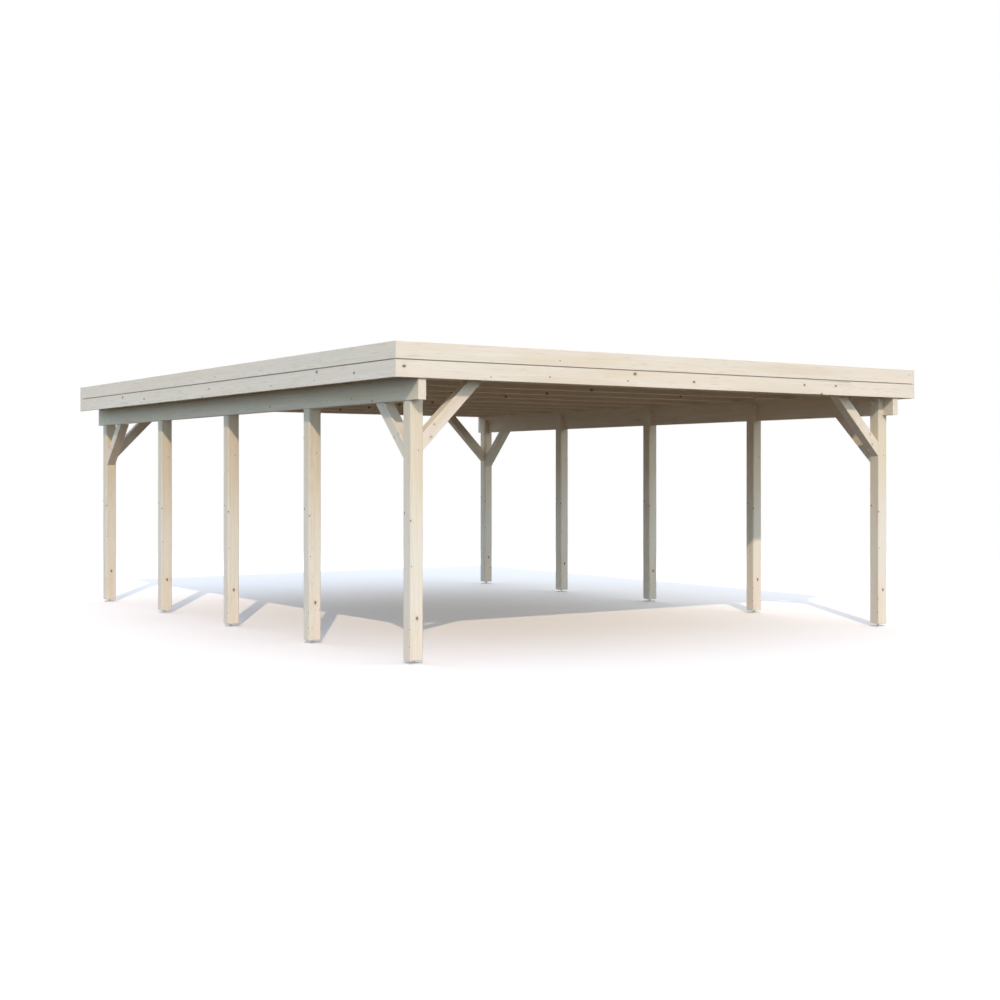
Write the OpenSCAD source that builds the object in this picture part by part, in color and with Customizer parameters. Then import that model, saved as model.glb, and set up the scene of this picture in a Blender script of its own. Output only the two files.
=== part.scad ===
// Flat-roofed timber carport on ten posts, open on all four sides.
// The origin is on the ground at the middle of the roof's outline.
// +Z is up, the front faces -Y, and all sizes are in millimetres.

/* [Roof outline] */
// Width over the fascia boards of the two long sides
roof_width = 6050; // [4800:10:7400]
// Depth over the fascia boards of the front and the back
roof_depth = 7680; // [6200:10:9400]
// Height from the ground to the underside of the side beams
headroom = 2137; // [1850:1:2600]

/* [Posts] */
// Number of posts under each side beam
posts_per_side = 5; // [3:1:7]
// Side of a square post
post_section = 120; // [100:1:150]
// Width of the planed-off corner of a post
post_arris = 8; // [2:1:12]
// From the fascia's outer face to a post's outer face
post_setback = 228; // [180:1:320]
// From the fascia's outer face to the first post's front face
end_setback = 157; // [110:1:260]
// Height of the tongue that stands up behind the beam
tongue_rise = 175; // [80:1:180]

/* [Post feet] */
// Height from the ground to the lower end of a post
foot_height = 33; // [25:1:60]
// Side of the square steel plates
foot_plate = 108; // [90:1:120]
// Thickness of the steel plates
foot_plate_thickness = 6; // [4:1:8]
// Diameter of the steel stem
foot_stem = 24; // [16:1:40]
// Diameter of an anchor hole in the base plate
anchor_hole = 11; // [7:1:13]
// Distance between neighbouring anchor holes
anchor_spacing = 78; // [60:1:78]

/* [Beams and rafters] */
// Width of a side beam
beam_width = 73; // [50:1:90]
// Depth of a side beam
beam_depth = 223; // [180:1:280]
// How far the beam's outer face stands out from the posts
beam_proud = 8; // [0:1:15]
// Width of a rafter
rafter_width = 60; // [38:1:75]
// Depth of a rafter
rafter_depth = 145; // [120:1:180]
// Number of evenly spaced rafters
rafter_count = 11; // [7:1:13]
// Width of the planed-off corner of beams and rafters
timber_arris = 3; // [1:1:5]

/* [Braces] */
// Side of a square brace
brace_section = 100; // [70:1:100]
// Drop from the beam to the foot of a brace along the beam
beam_brace_drop = 482; // [380:1:600]
// Drop from the rafters to the foot of a brace across the bay
cross_brace_drop = 631; // [500:1:780]

/* [Fascia and roof] */
// Thickness of a fascia board
fascia_thickness = 20; // [16:1:28]
// Height of one fascia board
fascia_board = 144.5; // [120:0.5:175]
// How far the fascia hangs below the rafters
fascia_drop = 52; // [20:1:100]
// Width of the shadow groove between two fascia boards
groove_width = 9; // [4:1:14]
// Depth of the shadow groove
groove_depth = 8; // [3:1:10]
// Thickness of the roof boards
deck_thickness = 18; // [15:1:24]
// Thickness of the roofing felt
felt_thickness = 4; // [2:0.5:6]

/* [Clearances] */
// End gap of a timber that is cut to fit between two others
end_gap = 0.5; // [0:0.1:0.9]
// Gap between the beam and the tongue behind it
lap_gap = 0.5; // [0:0.1:0.9]
// Gap around the roof boards inside the fascia
deck_gap = 3; // [1:1:10]

/* [Hidden] */
$fn = 48;
SIDES = ["left", "right"];
ENDS = ["front", "back"];
half_width = roof_width / 2;
half_depth = roof_depth / 2;

// Heights of the layers, from the beam's underside up
rafter_bottom = headroom + beam_depth;
deck_bottom = rafter_bottom + rafter_depth;
felt_bottom = deck_bottom + deck_thickness;
fascia_bottom = rafter_bottom - fascia_drop;
fascia_seam = fascia_bottom + fascia_board;
post_top = headroom + tongue_rise;

// Centres of the posts, measured from the origin
post_x = half_width - post_setback - post_section / 2;
first_post_y = -half_depth + end_setback + post_section / 2;
post_pitch = -2 * first_post_y / (posts_per_side - 1);

// The beam lies in the posts' notches, with its outer face proud of them
beam_outer_x = post_x + post_section / 2 + beam_proud;
beam_x = beam_outer_x - beam_width / 2;
notch_x = beam_outer_x - beam_width - lap_gap;

// The rafters run from fascia to fascia, the first and last behind the end boards
inner_half_width = half_width - fascia_thickness;
inner_half_depth = half_depth - fascia_thickness;
first_rafter_y = -inner_half_depth + rafter_width / 2;
rafter_pitch = -2 * first_rafter_y / (rafter_count - 1);

// -1 on the left and at the front, 1 on the right and at the back
function side_sign(side) = side == "left" ? -1 : 1;
function end_sign(end) = end == "front" ? -1 : 1;
function post_y(i) = first_post_y + (i - 1) * post_pitch;
function rafter_y(i) = first_rafter_y + (i - 1) * rafter_pitch;

// A rectangle with its four corners cut off at 45 degrees, centred
module planed_outline(width, depth, arris) {
    w = width / 2;
    d = depth / 2;
    polygon([
        [arris - w, -d], [w - arris, -d], [w, arris - d], [w, d - arris],
        [w - arris, d], [arris - w, d], [-w, d - arris], [-w, arris - d]]);
}

// A horizontal timber along X or Y, centred on its middle
module timber_along_x(length, width, depth, arris) {
    rotate([90, 0, 90])
        linear_extrude(length, center = true)
            planed_outline(width, depth, arris);
}

module timber_along_y(length, width, depth, arris) {
    rotate([0, 0, 90])
        timber_along_x(length, width, depth, arris);
}

// A post on the right side, centred on its axis, with its notch outwards
module post_blank() {
    notch_depth = post_x + post_section / 2 - notch_x;
    difference() {
        translate([0, 0, foot_height])
            linear_extrude(post_top - foot_height)
                planed_outline(post_section, post_section, post_arris);
        translate([post_section / 2 - notch_depth, -post_section, headroom])
            cube([post_section, 2 * post_section, 2 * tongue_rise]);
    }
}

module post(side, i) {
    color("antiquewhite")
        translate([side_sign(side) * post_x, post_y(i), 0])
            mirror([side == "left" ? 1 : 0, 0, 0])
                post_blank();
}

// One steel foot: a base plate with four anchor holes, a stem and a head plate
module foot() {
    difference() {
        translate([-foot_plate / 2, -foot_plate / 2, 0])
            cube([foot_plate, foot_plate, foot_plate_thickness]);
        for (x = [-1, 1], y = [-1, 1])
            translate([x * anchor_spacing / 2, y * anchor_spacing / 2, -foot_plate_thickness])
                cylinder(h = 3 * foot_plate_thickness, d = anchor_hole);
    }
    translate([0, 0, foot_plate_thickness])
        cylinder(h = foot_height - 2 * foot_plate_thickness, d = foot_stem);
    translate([-foot_plate / 2, -foot_plate / 2, foot_height - foot_plate_thickness])
        cube([foot_plate, foot_plate, foot_plate_thickness]);
}

module post_feet(side) {
    color("silver")
        for (i = [1:posts_per_side])
            translate([side_sign(side) * post_x, post_y(i), 0])
                foot();
}

module beam(side) {
    length = 2 * (inner_half_depth - end_gap);
    color("antiquewhite")
        translate([side_sign(side) * beam_x, 0, headroom + beam_depth / 2])
            timber_along_y(length, beam_width, beam_depth, timber_arris);
}

// A brace at 45 degrees in the XZ plane. Its foot stands on the face x = 0, its lower
// edge starts at z = -drop, and its head is cut level at z = 0.
module brace(drop) {
    cut = brace_section * sqrt(2);
    intersection() {
        translate([0, 0, cut / 2 - drop])
            rotate([0, -45, 0])
                timber_along_x(4 * drop, brace_section, brace_section, timber_arris);
        translate([0, -brace_section, -2 * drop])
            cube([2 * drop, 2 * brace_section, 2 * drop]);
    }
}

// Rises from a corner post towards the middle of the beam
module beam_brace(end, side) {
    face_y = end_sign(end) * (-first_post_y - post_section / 2);
    color("antiquewhite")
        translate([side_sign(side) * post_x, face_y, headroom])
            rotate([0, 0, -90 * end_sign(end)])
                brace(beam_brace_drop);
}

// Rises from a corner post towards the middle of the bay
module cross_brace(end, side) {
    face_x = side_sign(side) * (post_x - post_section / 2);
    color("antiquewhite")
        translate([face_x, -end_sign(end) * first_post_y, rafter_bottom])
            mirror([side == "right" ? 1 : 0, 0, 0])
                brace(cross_brace_drop);
}

module rafter_at(y) {
    color("burlywood")
        translate([0, y, rafter_bottom + rafter_depth / 2])
            timber_along_x(2 * (inner_half_width - end_gap), rafter_width, rafter_depth, timber_arris);
}

module rafter(i) {
    rafter_at(rafter_y(i));
}

// The extra rafter over the end posts, which the cross braces reach
module brace_rafter(end) {
    rafter_at(-end_sign(end) * first_post_y);
}

// A level sheet that fills the inside of the fascia, less a gap all round
module roof_layer(bottom, thickness) {
    width = 2 * (inner_half_width - deck_gap);
    depth = 2 * (inner_half_depth - deck_gap);
    translate([-width / 2, -depth / 2, bottom])
        cube([width, depth, thickness]);
}

module roof_deck() {
    color("burlywood")
        roof_layer(deck_bottom, deck_thickness);
}

module roof_felt() {
    color("dimgray")
        roof_layer(felt_bottom, felt_thickness);
}

// A lower fascia board along X: outer face at y = 0, back at y = fascia_thickness,
// with half of the shadow groove in its upper edge
module lower_board(length) {
    edge = fascia_board - groove_width / 2;
    rotate([90, 0, 90])
        linear_extrude(length)
            polygon([
                [timber_arris, 0], [fascia_thickness, 0], [fascia_thickness, fascia_board],
                [groove_depth, fascia_board], [groove_depth, edge], [0, edge], [0, timber_arris]]);
}

// The upper board is the lower one upside down
module upper_board(length) {
    translate([0, 0, fascia_board])
        mirror([0, 0, 1])
            lower_board(length);
}

// The front boards run to the left corner and stop behind the right-hand boards
module fascia_front(level) {
    length = roof_width - fascia_thickness - end_gap;
    color("antiquewhite")
        translate([-half_width, -half_depth, level == "lower" ? fascia_bottom : fascia_seam])
            if (level == "lower") lower_board(length);
            else upper_board(length);
}

// The back has the upper board alone
module fascia_back_upper() {
    color("antiquewhite")
        translate([-half_width, half_depth, fascia_seam])
            mirror([0, 1, 0])
                upper_board(roof_width - fascia_thickness - end_gap);
}

// The right-hand boards run from corner to corner. The left-hand ones start behind the
// front boards, and the upper one also stops behind the back board.
module fascia_side(side, level) {
    board_z = level == "lower" ? fascia_bottom : fascia_seam;
    front_stop = side == "left" ? fascia_thickness + end_gap : 0;
    back_stop = side == "left" && level == "upper" ? fascia_thickness + end_gap : 0;
    length = roof_depth - front_stop - back_stop;
    color("antiquewhite")
        translate([side_sign(side) * half_width, front_stop - half_depth, board_z])
            mirror([side == "right" ? 1 : 0, 0, 0])
                mirror([1, -1, 0])
                    if (level == "lower") lower_board(length);
                    else upper_board(length);
}

for (s = SIDES, i = [1:posts_per_side])
    post(s, i);
for (s = SIDES)
    post_feet(s);
for (s = SIDES)
    beam(s);
for (s = SIDES, e = ENDS)
    beam_brace(e, s);
for (s = SIDES, e = ENDS)
    cross_brace(e, s);
for (i = [1:rafter_count])
    rafter(i);
for (e = ENDS)
    brace_rafter(e);
roof_deck();
roof_felt();
fascia_front("lower");  // fascia_front_lower
fascia_front("upper");  // fascia_front_upper
fascia_back_upper();
for (s = SIDES)
    fascia_side(s, "lower");
for (s = SIDES)
    fascia_side(s, "upper");
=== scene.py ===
"""Looks of a flat-roofed timber carport on ten posts.

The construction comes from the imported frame. This script dresses its timbers, lays the roof
boards and the felt, adds the feet and the fixings, and sets up a plain studio. All sizes are
in metres, X runs across the bay, the front faces -Y and Z is up.
"""

import logging
import math
import random
from dataclasses import dataclass
from enum import Enum
from typing import Iterable, Sequence

import bmesh
import bpy
from mathutils import Euler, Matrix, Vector, noise


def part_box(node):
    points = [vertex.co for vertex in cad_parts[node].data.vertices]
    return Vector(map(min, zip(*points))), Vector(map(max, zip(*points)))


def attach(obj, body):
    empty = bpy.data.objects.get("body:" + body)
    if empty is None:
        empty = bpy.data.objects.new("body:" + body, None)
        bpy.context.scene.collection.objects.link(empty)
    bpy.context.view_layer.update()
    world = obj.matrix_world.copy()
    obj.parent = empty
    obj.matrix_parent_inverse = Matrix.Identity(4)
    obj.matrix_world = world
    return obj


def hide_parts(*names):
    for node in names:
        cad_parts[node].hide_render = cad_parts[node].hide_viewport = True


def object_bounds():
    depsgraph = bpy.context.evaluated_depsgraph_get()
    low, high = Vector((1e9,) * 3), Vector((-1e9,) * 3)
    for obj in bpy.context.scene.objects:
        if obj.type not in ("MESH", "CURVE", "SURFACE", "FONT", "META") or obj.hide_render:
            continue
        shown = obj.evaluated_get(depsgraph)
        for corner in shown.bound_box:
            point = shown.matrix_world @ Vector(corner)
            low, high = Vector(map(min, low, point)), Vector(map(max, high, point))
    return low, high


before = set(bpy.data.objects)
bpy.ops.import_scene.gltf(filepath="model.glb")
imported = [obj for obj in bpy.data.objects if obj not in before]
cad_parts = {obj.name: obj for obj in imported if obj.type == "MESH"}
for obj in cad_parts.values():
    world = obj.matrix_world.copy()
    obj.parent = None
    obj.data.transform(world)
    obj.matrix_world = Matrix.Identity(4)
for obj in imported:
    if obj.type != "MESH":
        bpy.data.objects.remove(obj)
cad_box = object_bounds()

LOG = logging.getLogger("carport")
ROOT_BODY = "root"
UP = Vector((0, 0, 1))
# Step that keeps a face of a new piece from lying in a face of the construction
AWAY = 0.0002
# Lowest and highest level of the groove between the two rows of fascia boards
GROOVE = (2.4473, 2.4577)

Colour = tuple[float, float, float]
Point = tuple[float, float, float]
Feed = bpy.types.NodeSocket | float | int | bool | str | Sequence[float]


class Slot(Enum):
    """The record's material slots."""

    FRAME = "frame_timber"
    FASCIA = "fascia_timber"
    ROOF = "roof_timber"
    STEEL = "galvanised_steel"
    FELT = "roof_felt"


class Side(Enum):
    """The two long sides, as the sign of their X."""

    LEFT = -1
    RIGHT = 1

    @property
    def word(self) -> str:
        """The side's name as the nodes spell it."""
        return self.name.lower()


class End(Enum):
    """The two short sides, as the sign of their Y."""

    FRONT = -1
    BACK = 1

    @property
    def word(self) -> str:
        """The end's name as the nodes spell it."""
        return self.name.lower()


class Grain(Enum):
    """Which way the fibres run, as the turn in degrees that lays X along them."""

    ACROSS_BAY = (0, 0, 0)
    ALONG_BAY = (0, 0, 90)
    UPRIGHT = (0, -90, 0)
    RISING_RIGHT = (0, -45, 0)
    RISING_LEFT = (0, -135, 0)
    RISING_BACK = (0, -45, 90)
    RISING_FRONT = (0, -45, -90)

    @property
    def turn(self) -> Euler:
        """The turn as angles in radians."""
        return Euler([math.radians(angle) for angle in self.value], "XYZ")

    @property
    def axis(self) -> Vector:
        """The direction of the fibres."""
        return self.turn.to_matrix() @ Vector((1, 0, 0))


# --- Node trees ---------------------------------------------------------------------------


class NodeBench:
    """Adds nodes to one tree and wires them, so that a recipe reads as a list of steps."""

    def __init__(self, tree: bpy.types.NodeTree) -> None:
        """Takes the tree to work on.

        Args:
            tree: The shader or geometry tree that gets the nodes.
        """
        self.tree = tree

    def add(
        self, kind: str, feeds: dict[str | int, Feed] | None = None, **settings: object
    ) -> bpy.types.Node:
        """Adds one node.

        Args:
            kind: The node's type name.
            feeds: What goes into its inputs, by name or index.
            **settings: Properties to set on the node first.

        Returns:
            The new node.
        """
        node = self.tree.nodes.new(kind)
        for name, value in settings.items():
            setattr(node, name, value)
        for key, feed in (feeds or {}).items():
            self.feed(node.inputs[key], feed)
        return node

    def feed(self, socket: bpy.types.NodeSocket, feed: Feed) -> None:
        """Links a socket to another, or sets its value.

        Args:
            socket: The input socket.
            feed: An output socket, or a plain value.
        """
        if isinstance(feed, bpy.types.NodeSocket):
            self.tree.links.new(feed, socket)
        elif socket.type == "RGBA" and len(feed) == 3:
            socket.default_value = (*feed, 1.0)
        else:
            socket.default_value = feed

    def calc(self, operation: str, *terms: Feed) -> bpy.types.NodeSocket:
        """One step of arithmetic.

        Args:
            operation: The Math node's operation.
            *terms: Its terms, in order.

        Returns:
            The result.
        """
        return self.add("ShaderNodeMath", dict(enumerate(terms)), operation=operation).outputs[0]

    def times(self, first: Feed, second: Feed) -> bpy.types.NodeSocket:
        """The product of two values."""
        return self.calc("MULTIPLY", first, second)

    def flip(self, value: Feed) -> bpy.types.NodeSocket:
        """What is left of 1 when a value is taken away."""
        return self.calc("SUBTRACT", 1.0, value)

    def vector(self, operation: str, *terms: Feed) -> bpy.types.NodeSocket:
        """One step of vector arithmetic.

        Args:
            operation: The Vector Math node's operation.
            *terms: Its terms, in order.

        Returns:
            The resulting vector, or the value of a length or dot product.
        """
        node = self.add("ShaderNodeVectorMath", dict(enumerate(terms)), operation=operation)
        plain = operation in ("LENGTH", "DOT_PRODUCT", "DISTANCE")
        return node.outputs["Value" if plain else "Vector"]

    def ramp(self, value: Feed, low: Feed, high: Feed, top: float = 1.0) -> bpy.types.NodeSocket:
        """Rises smoothly from 0 at low to top at high.

        Args:
            value: The value that is looked up.
            low: Where the result is 0.
            high: Where the result is top.
            top: The highest result.

        Returns:
            The result.
        """
        feeds = {"Value": value, "From Min": low, "From Max": high, "To Min": 0.0, "To Max": top}
        return self.add("ShaderNodeMapRange", feeds, interpolation_type="SMOOTHSTEP").outputs[0]

    def grit(
        self, place: Feed, stretch: Point, detail: float = 2.0, colour: bool = False
    ) -> bpy.types.NodeSocket:
        """Smooth noise with its own size along each axis.

        Args:
            place: Where it is looked up, in metres.
            stretch: Repeats per metre along each axis.
            detail: How many finer layers are added.
            colour: True for three values instead of one.

        Returns:
            The noise, from 0 to 1 around 0.5.
        """
        spot = self.vector("MULTIPLY", place, stretch)
        node = self.add("ShaderNodeTexNoise", {"Vector": spot, "Scale": 1.0, "Detail": detail})
        return node.outputs["Color" if colour else "Fac"]

    def mix(self, share: Feed, first: Feed, second: Feed) -> bpy.types.NodeSocket:
        """Blends two colours.

        Args:
            share: The share of the second colour.
            first: The first colour.
            second: The second colour.

        Returns:
            The blended colour.
        """
        node = self.add("ShaderNodeMix", {0: share, 6: first, 7: second}, data_type="RGBA")
        return node.outputs[2]

    def split(self, vector: Feed) -> list[bpy.types.NodeSocket]:
        """The three parts of a vector."""
        return list(self.add("ShaderNodeSeparateXYZ", {0: vector}).outputs)

    def merge(self, x: Feed, y: Feed, z: Feed) -> bpy.types.NodeSocket:
        """A vector of three parts."""
        return self.add("ShaderNodeCombineXYZ", {0: x, 1: y, 2: z}).outputs[0]

    def lift(self, shape: Feed, height: Feed) -> bpy.types.NodeSocket:
        """A shape moved up."""
        return self.add("GeometryNodeTransform", {0: shape, 1: self.merge(0.0, 0.0, height)}).outputs[0]

    def join(self, *shapes: Feed) -> bpy.types.NodeSocket:
        """Several shapes as one."""
        node = self.add("GeometryNodeJoinGeometry")
        for shape in shapes:
            self.feed(node.inputs[0], shape)
        return node.outputs[0]

    def close(self, sink: bpy.types.Node, shape: Feed, material: Feed) -> bpy.types.NodeTree:
        """Ends a geometry tree: its copies become real and get their material.

        Args:
            sink: The tree's output node.
            shape: What the tree has made.
            material: The material.

        Returns:
            The finished tree.
        """
        real = self.add("GeometryNodeRealizeInstances", {0: shape})
        dressed = self.add("GeometryNodeSetMaterial", {"Geometry": real.outputs[0], "Material": material})
        self.feed(sink.inputs[0], dressed.outputs[0])
        return self.tree


def open_group(
    name: str, kind: str, inputs: dict[str, str], outputs: dict[str, str]
) -> tuple[NodeBench, bpy.types.Node, bpy.types.Node]:
    """Starts a node group with named sockets.

    Args:
        name: The group's name.
        kind: "Shader" or "Geometry".
        inputs: Each input's name and socket type, such as Float.
        outputs: Each output's name and socket type.

    Returns:
        The bench, the group's input node and its output node.
    """
    tree = bpy.data.node_groups.new(name, f"{kind}NodeTree")
    for direction, sockets in (("INPUT", inputs), ("OUTPUT", outputs)):
        for label, socket in sockets.items():
            tree.interface.new_socket(label, in_out=direction, socket_type=f"NodeSocket{socket}")
    return NodeBench(tree), tree.nodes.new("NodeGroupInput"), tree.nodes.new("NodeGroupOutput")


def knot_group() -> bpy.types.NodeTree:
    """Builds the group that sets one chosen knot into a timber.

    Returns:
        A group that adds a knot's core, rim and swelling to those of the knots before it.
    """
    chain = {"Cores": "Float", "Rims": "Float", "Swell": "Float"}
    inputs = {"Place": "Vector", "Centre": "Vector", "Radius": "Float", **chain}
    bench, source, sink = open_group("placed_knot", "Shader", inputs, chain)
    given = source.outputs
    gap = bench.vector("SUBTRACT", given["Place"], given["Centre"])
    gap = bench.vector("MULTIPLY", gap, (0.72, 1.0, 1.0))
    wobble = bench.grit(given["Place"], (90.0, 130.0, 130.0), 1.0)
    share = bench.calc("DIVIDE", bench.vector("LENGTH", gap), given["Radius"])
    share = bench.calc("ADD", share, bench.calc("MULTIPLY_ADD", wobble, 0.7, -0.35))
    core = bench.flip(bench.ramp(share, 0.70, 1.05))
    rim = bench.flip(bench.ramp(share, 0.9, 2.1))
    swell = bench.times(bench.flip(bench.ramp(share, 0.4, 5.0)), given["Radius"])
    bench.feed(sink.inputs["Cores"], bench.calc("MAXIMUM", core, given["Cores"]))
    bench.feed(sink.inputs["Rims"], bench.calc("MAXIMUM", rim, given["Rims"]))
    bench.feed(sink.inputs["Swell"], bench.calc("ADD", swell, given["Swell"]))
    return bench.tree


def timber_group() -> bpy.types.NodeTree:
    """Builds the group that draws growth rings, streaks, fibres, small knots and hair cracks.

    Its place runs in metres with X along the fibres. The rings lie round the heart, so a
    face cut along them shows flames, a face across them lines, and an end grain arcs.

    Returns:
        A group that gives masks from 0 to 1.
    """
    inputs = {"Place": "Vector", "Heart": "Vector", "Shift": "Vector", "Ring Width": "Float"}
    inputs |= {"Swell": "Float"}
    masks = ("Rings", "Years", "Streaks", "Ochre", "Dashes", "Fibres", "Blush", "Cores", "Rims", "Cracks")
    outputs = {mask: "Float" for mask in masks}
    bench, source, sink = open_group("spruce_figure", "Shader", inputs, outputs)
    given = source.outputs
    spot = bench.vector("ADD", given["Place"], given["Shift"])

    # Small knots: one to a cell of this size, and most cells have none that shows
    cell = (0.50, 0.12, 0.12)
    scaled = bench.vector("MULTIPLY", spot, tuple(1.0 / side for side in cell))
    cells = bench.add("ShaderNodeTexVoronoi", {"Vector": scaled, "Scale": 1.0, "Randomness": 0.9})
    gap = bench.vector("SUBTRACT", cells.outputs["Position"], scaled)
    gap = bench.vector("MULTIPLY", gap, (cell[0] * 0.7, cell[1], cell[2]))
    draw = bench.split(cells.outputs["Color"])[0]
    feeds = {"Value": draw, "To Min": -0.016, "To Max": 0.008}
    radius = bench.add("ShaderNodeMapRange", feeds).outputs[0]
    depth = bench.calc("SUBTRACT", bench.vector("LENGTH", gap), radius)
    swell = bench.times(bench.flip(bench.ramp(depth, 0.0, 0.045)), bench.calc("MAXIMUM", radius, 0.0))
    bench.feed(sink.inputs["Cores"], bench.flip(bench.ramp(depth, -0.0015, 0.0008)))
    bench.feed(sink.inputs["Rims"], bench.flip(bench.ramp(depth, 0.0, 0.010)))

    # Rings: distance from the heart, which wanders along the timber and bends round knots
    wander = bench.grit(spot, (0.9, 2.5, 2.5), 2.0, colour=True)
    wander = bench.vector("SUBTRACT", wander, (0.5, 0.5, 0.5))
    wander = bench.vector("MULTIPLY", wander, (0.0, 0.050, 0.050))
    ray = bench.vector("SUBTRACT", bench.vector("ADD", given["Place"], wander), given["Heart"])
    ray = bench.vector("MULTIPLY", ray, (0.0, 1.0, 1.0))
    swell = bench.calc("ADD", given["Swell"], swell)
    reach = bench.calc("SUBTRACT", bench.vector("LENGTH", ray), swell)
    along = bench.split(given["Place"])[0]
    reach = bench.calc("MULTIPLY_ADD", along, 0.004, reach)
    year_place = bench.merge(reach, bench.times(along, 0.004), bench.split(spot)[2])
    years = bench.grit(year_place, (160.0, 60.0, 0.4), 1.0)
    count = bench.calc("DIVIDE", reach, given["Ring Width"])
    count = bench.calc("MULTIPLY_ADD", years, 1.6, count)
    phase = bench.calc("FRACT", count)
    late = bench.times(bench.ramp(phase, 0.35, 0.90), bench.flip(bench.ramp(phase, 0.91, 1.0)))
    bench.feed(sink.inputs["Rings"], late)
    bench.feed(sink.inputs["Years"], bench.ramp(years, 0.30, 0.72))

    # Streaks along the grain: place, repeats per metre, detail, and where the mask starts and ends
    warm = bench.vector("ADD", spot, (7.0, 3.0, 5.0))
    for mask, place, stretch, detail, low, high in (
        ("Streaks", spot, (1.3, 26.0, 26.0), 3.0, 0.32, 0.72),
        ("Ochre", warm, (0.7, 17.0, 17.0), 2.0, 0.50, 0.70),
        ("Dashes", warm, (5.5, 75.0, 75.0), 2.0, 0.54, 0.74),
        ("Blush", spot, (0.8, 7.0, 7.0), 2.0, 0.35, 0.68),
    ):
        bench.feed(sink.inputs[mask], bench.ramp(bench.grit(place, stretch, detail), low, high))
    bench.feed(sink.inputs["Fibres"], bench.grit(spot, (18.0, 700.0, 700.0), 2.0))

    # Hair cracks: thin lines along the grain, here and there
    line = bench.calc("ABSOLUTE", bench.calc("SUBTRACT", bench.grit(spot, (0.10, 19.0, 19.0), 1.0), 0.5))
    here = bench.ramp(bench.grit(spot, (1.5, 8.0, 8.0), 0.0), 0.64, 0.76)
    bench.feed(sink.inputs["Cracks"], bench.times(bench.flip(bench.ramp(line, 0.0, 0.006)), here))
    return bench.tree


def speckle_group() -> bpy.types.NodeTree:
    """Builds the group that scatters small patches, for zinc spangle and slate granules.

    Returns:
        A group that gives a tone for each patch and a slow cloud over all of them.
    """
    inputs = {"Place": "Vector", "Patches": "Float", "Clouds": "Float"}
    bench, source, sink = open_group("speckle", "Shader", inputs, {"Tone": "Float", "Cloud": "Float"})
    feeds = {"Vector": source.outputs["Place"], "Scale": source.outputs["Patches"]}
    cells = bench.add("ShaderNodeTexVoronoi", feeds)
    bench.feed(sink.inputs["Tone"], bench.split(cells.outputs["Color"])[0])
    feeds = {"Vector": source.outputs["Place"], "Scale": source.outputs["Clouds"], "Detail": 3.0}
    bench.feed(sink.inputs["Cloud"], bench.add("ShaderNodeTexNoise", feeds).outputs[0])
    return bench.tree


GROUPS = {"knot": knot_group(), "timber": timber_group(), "speckle": speckle_group()}


# --- Finishes -----------------------------------------------------------------------------


@dataclass(frozen=True)
class Knot:
    """A knot that shows on a timber.

    Attributes:
        offset: Its centre, from the timber's lowest corner.
        radius: Half its width across the grain.
    """

    offset: Point
    radius: float


@dataclass(frozen=True)
class Tint:
    """A soft patch of another colour on a timber.

    Attributes:
        offset: Its centre, from the timber's lowest corner.
        reach: How far it spreads each way.
        colour: Its colour.
        share: How strongly it shows.
    """

    offset: Point
    reach: Point
    colour: Colour
    share: float


def new_material(name: str) -> tuple[bpy.types.Material, NodeBench, bpy.types.Node, bpy.types.NodeSocket]:
    """Starts a node material.

    Args:
        name: The material's name.

    Returns:
        The material, its bench, its shader node and its object coordinates.
    """
    material = bpy.data.materials.new(name)
    material.use_nodes = True
    bench = NodeBench(material.node_tree)
    shader = material.node_tree.nodes["Principled BSDF"]
    return material, bench, shader, bench.add("ShaderNodeTexCoord").outputs["Object"]


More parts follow.
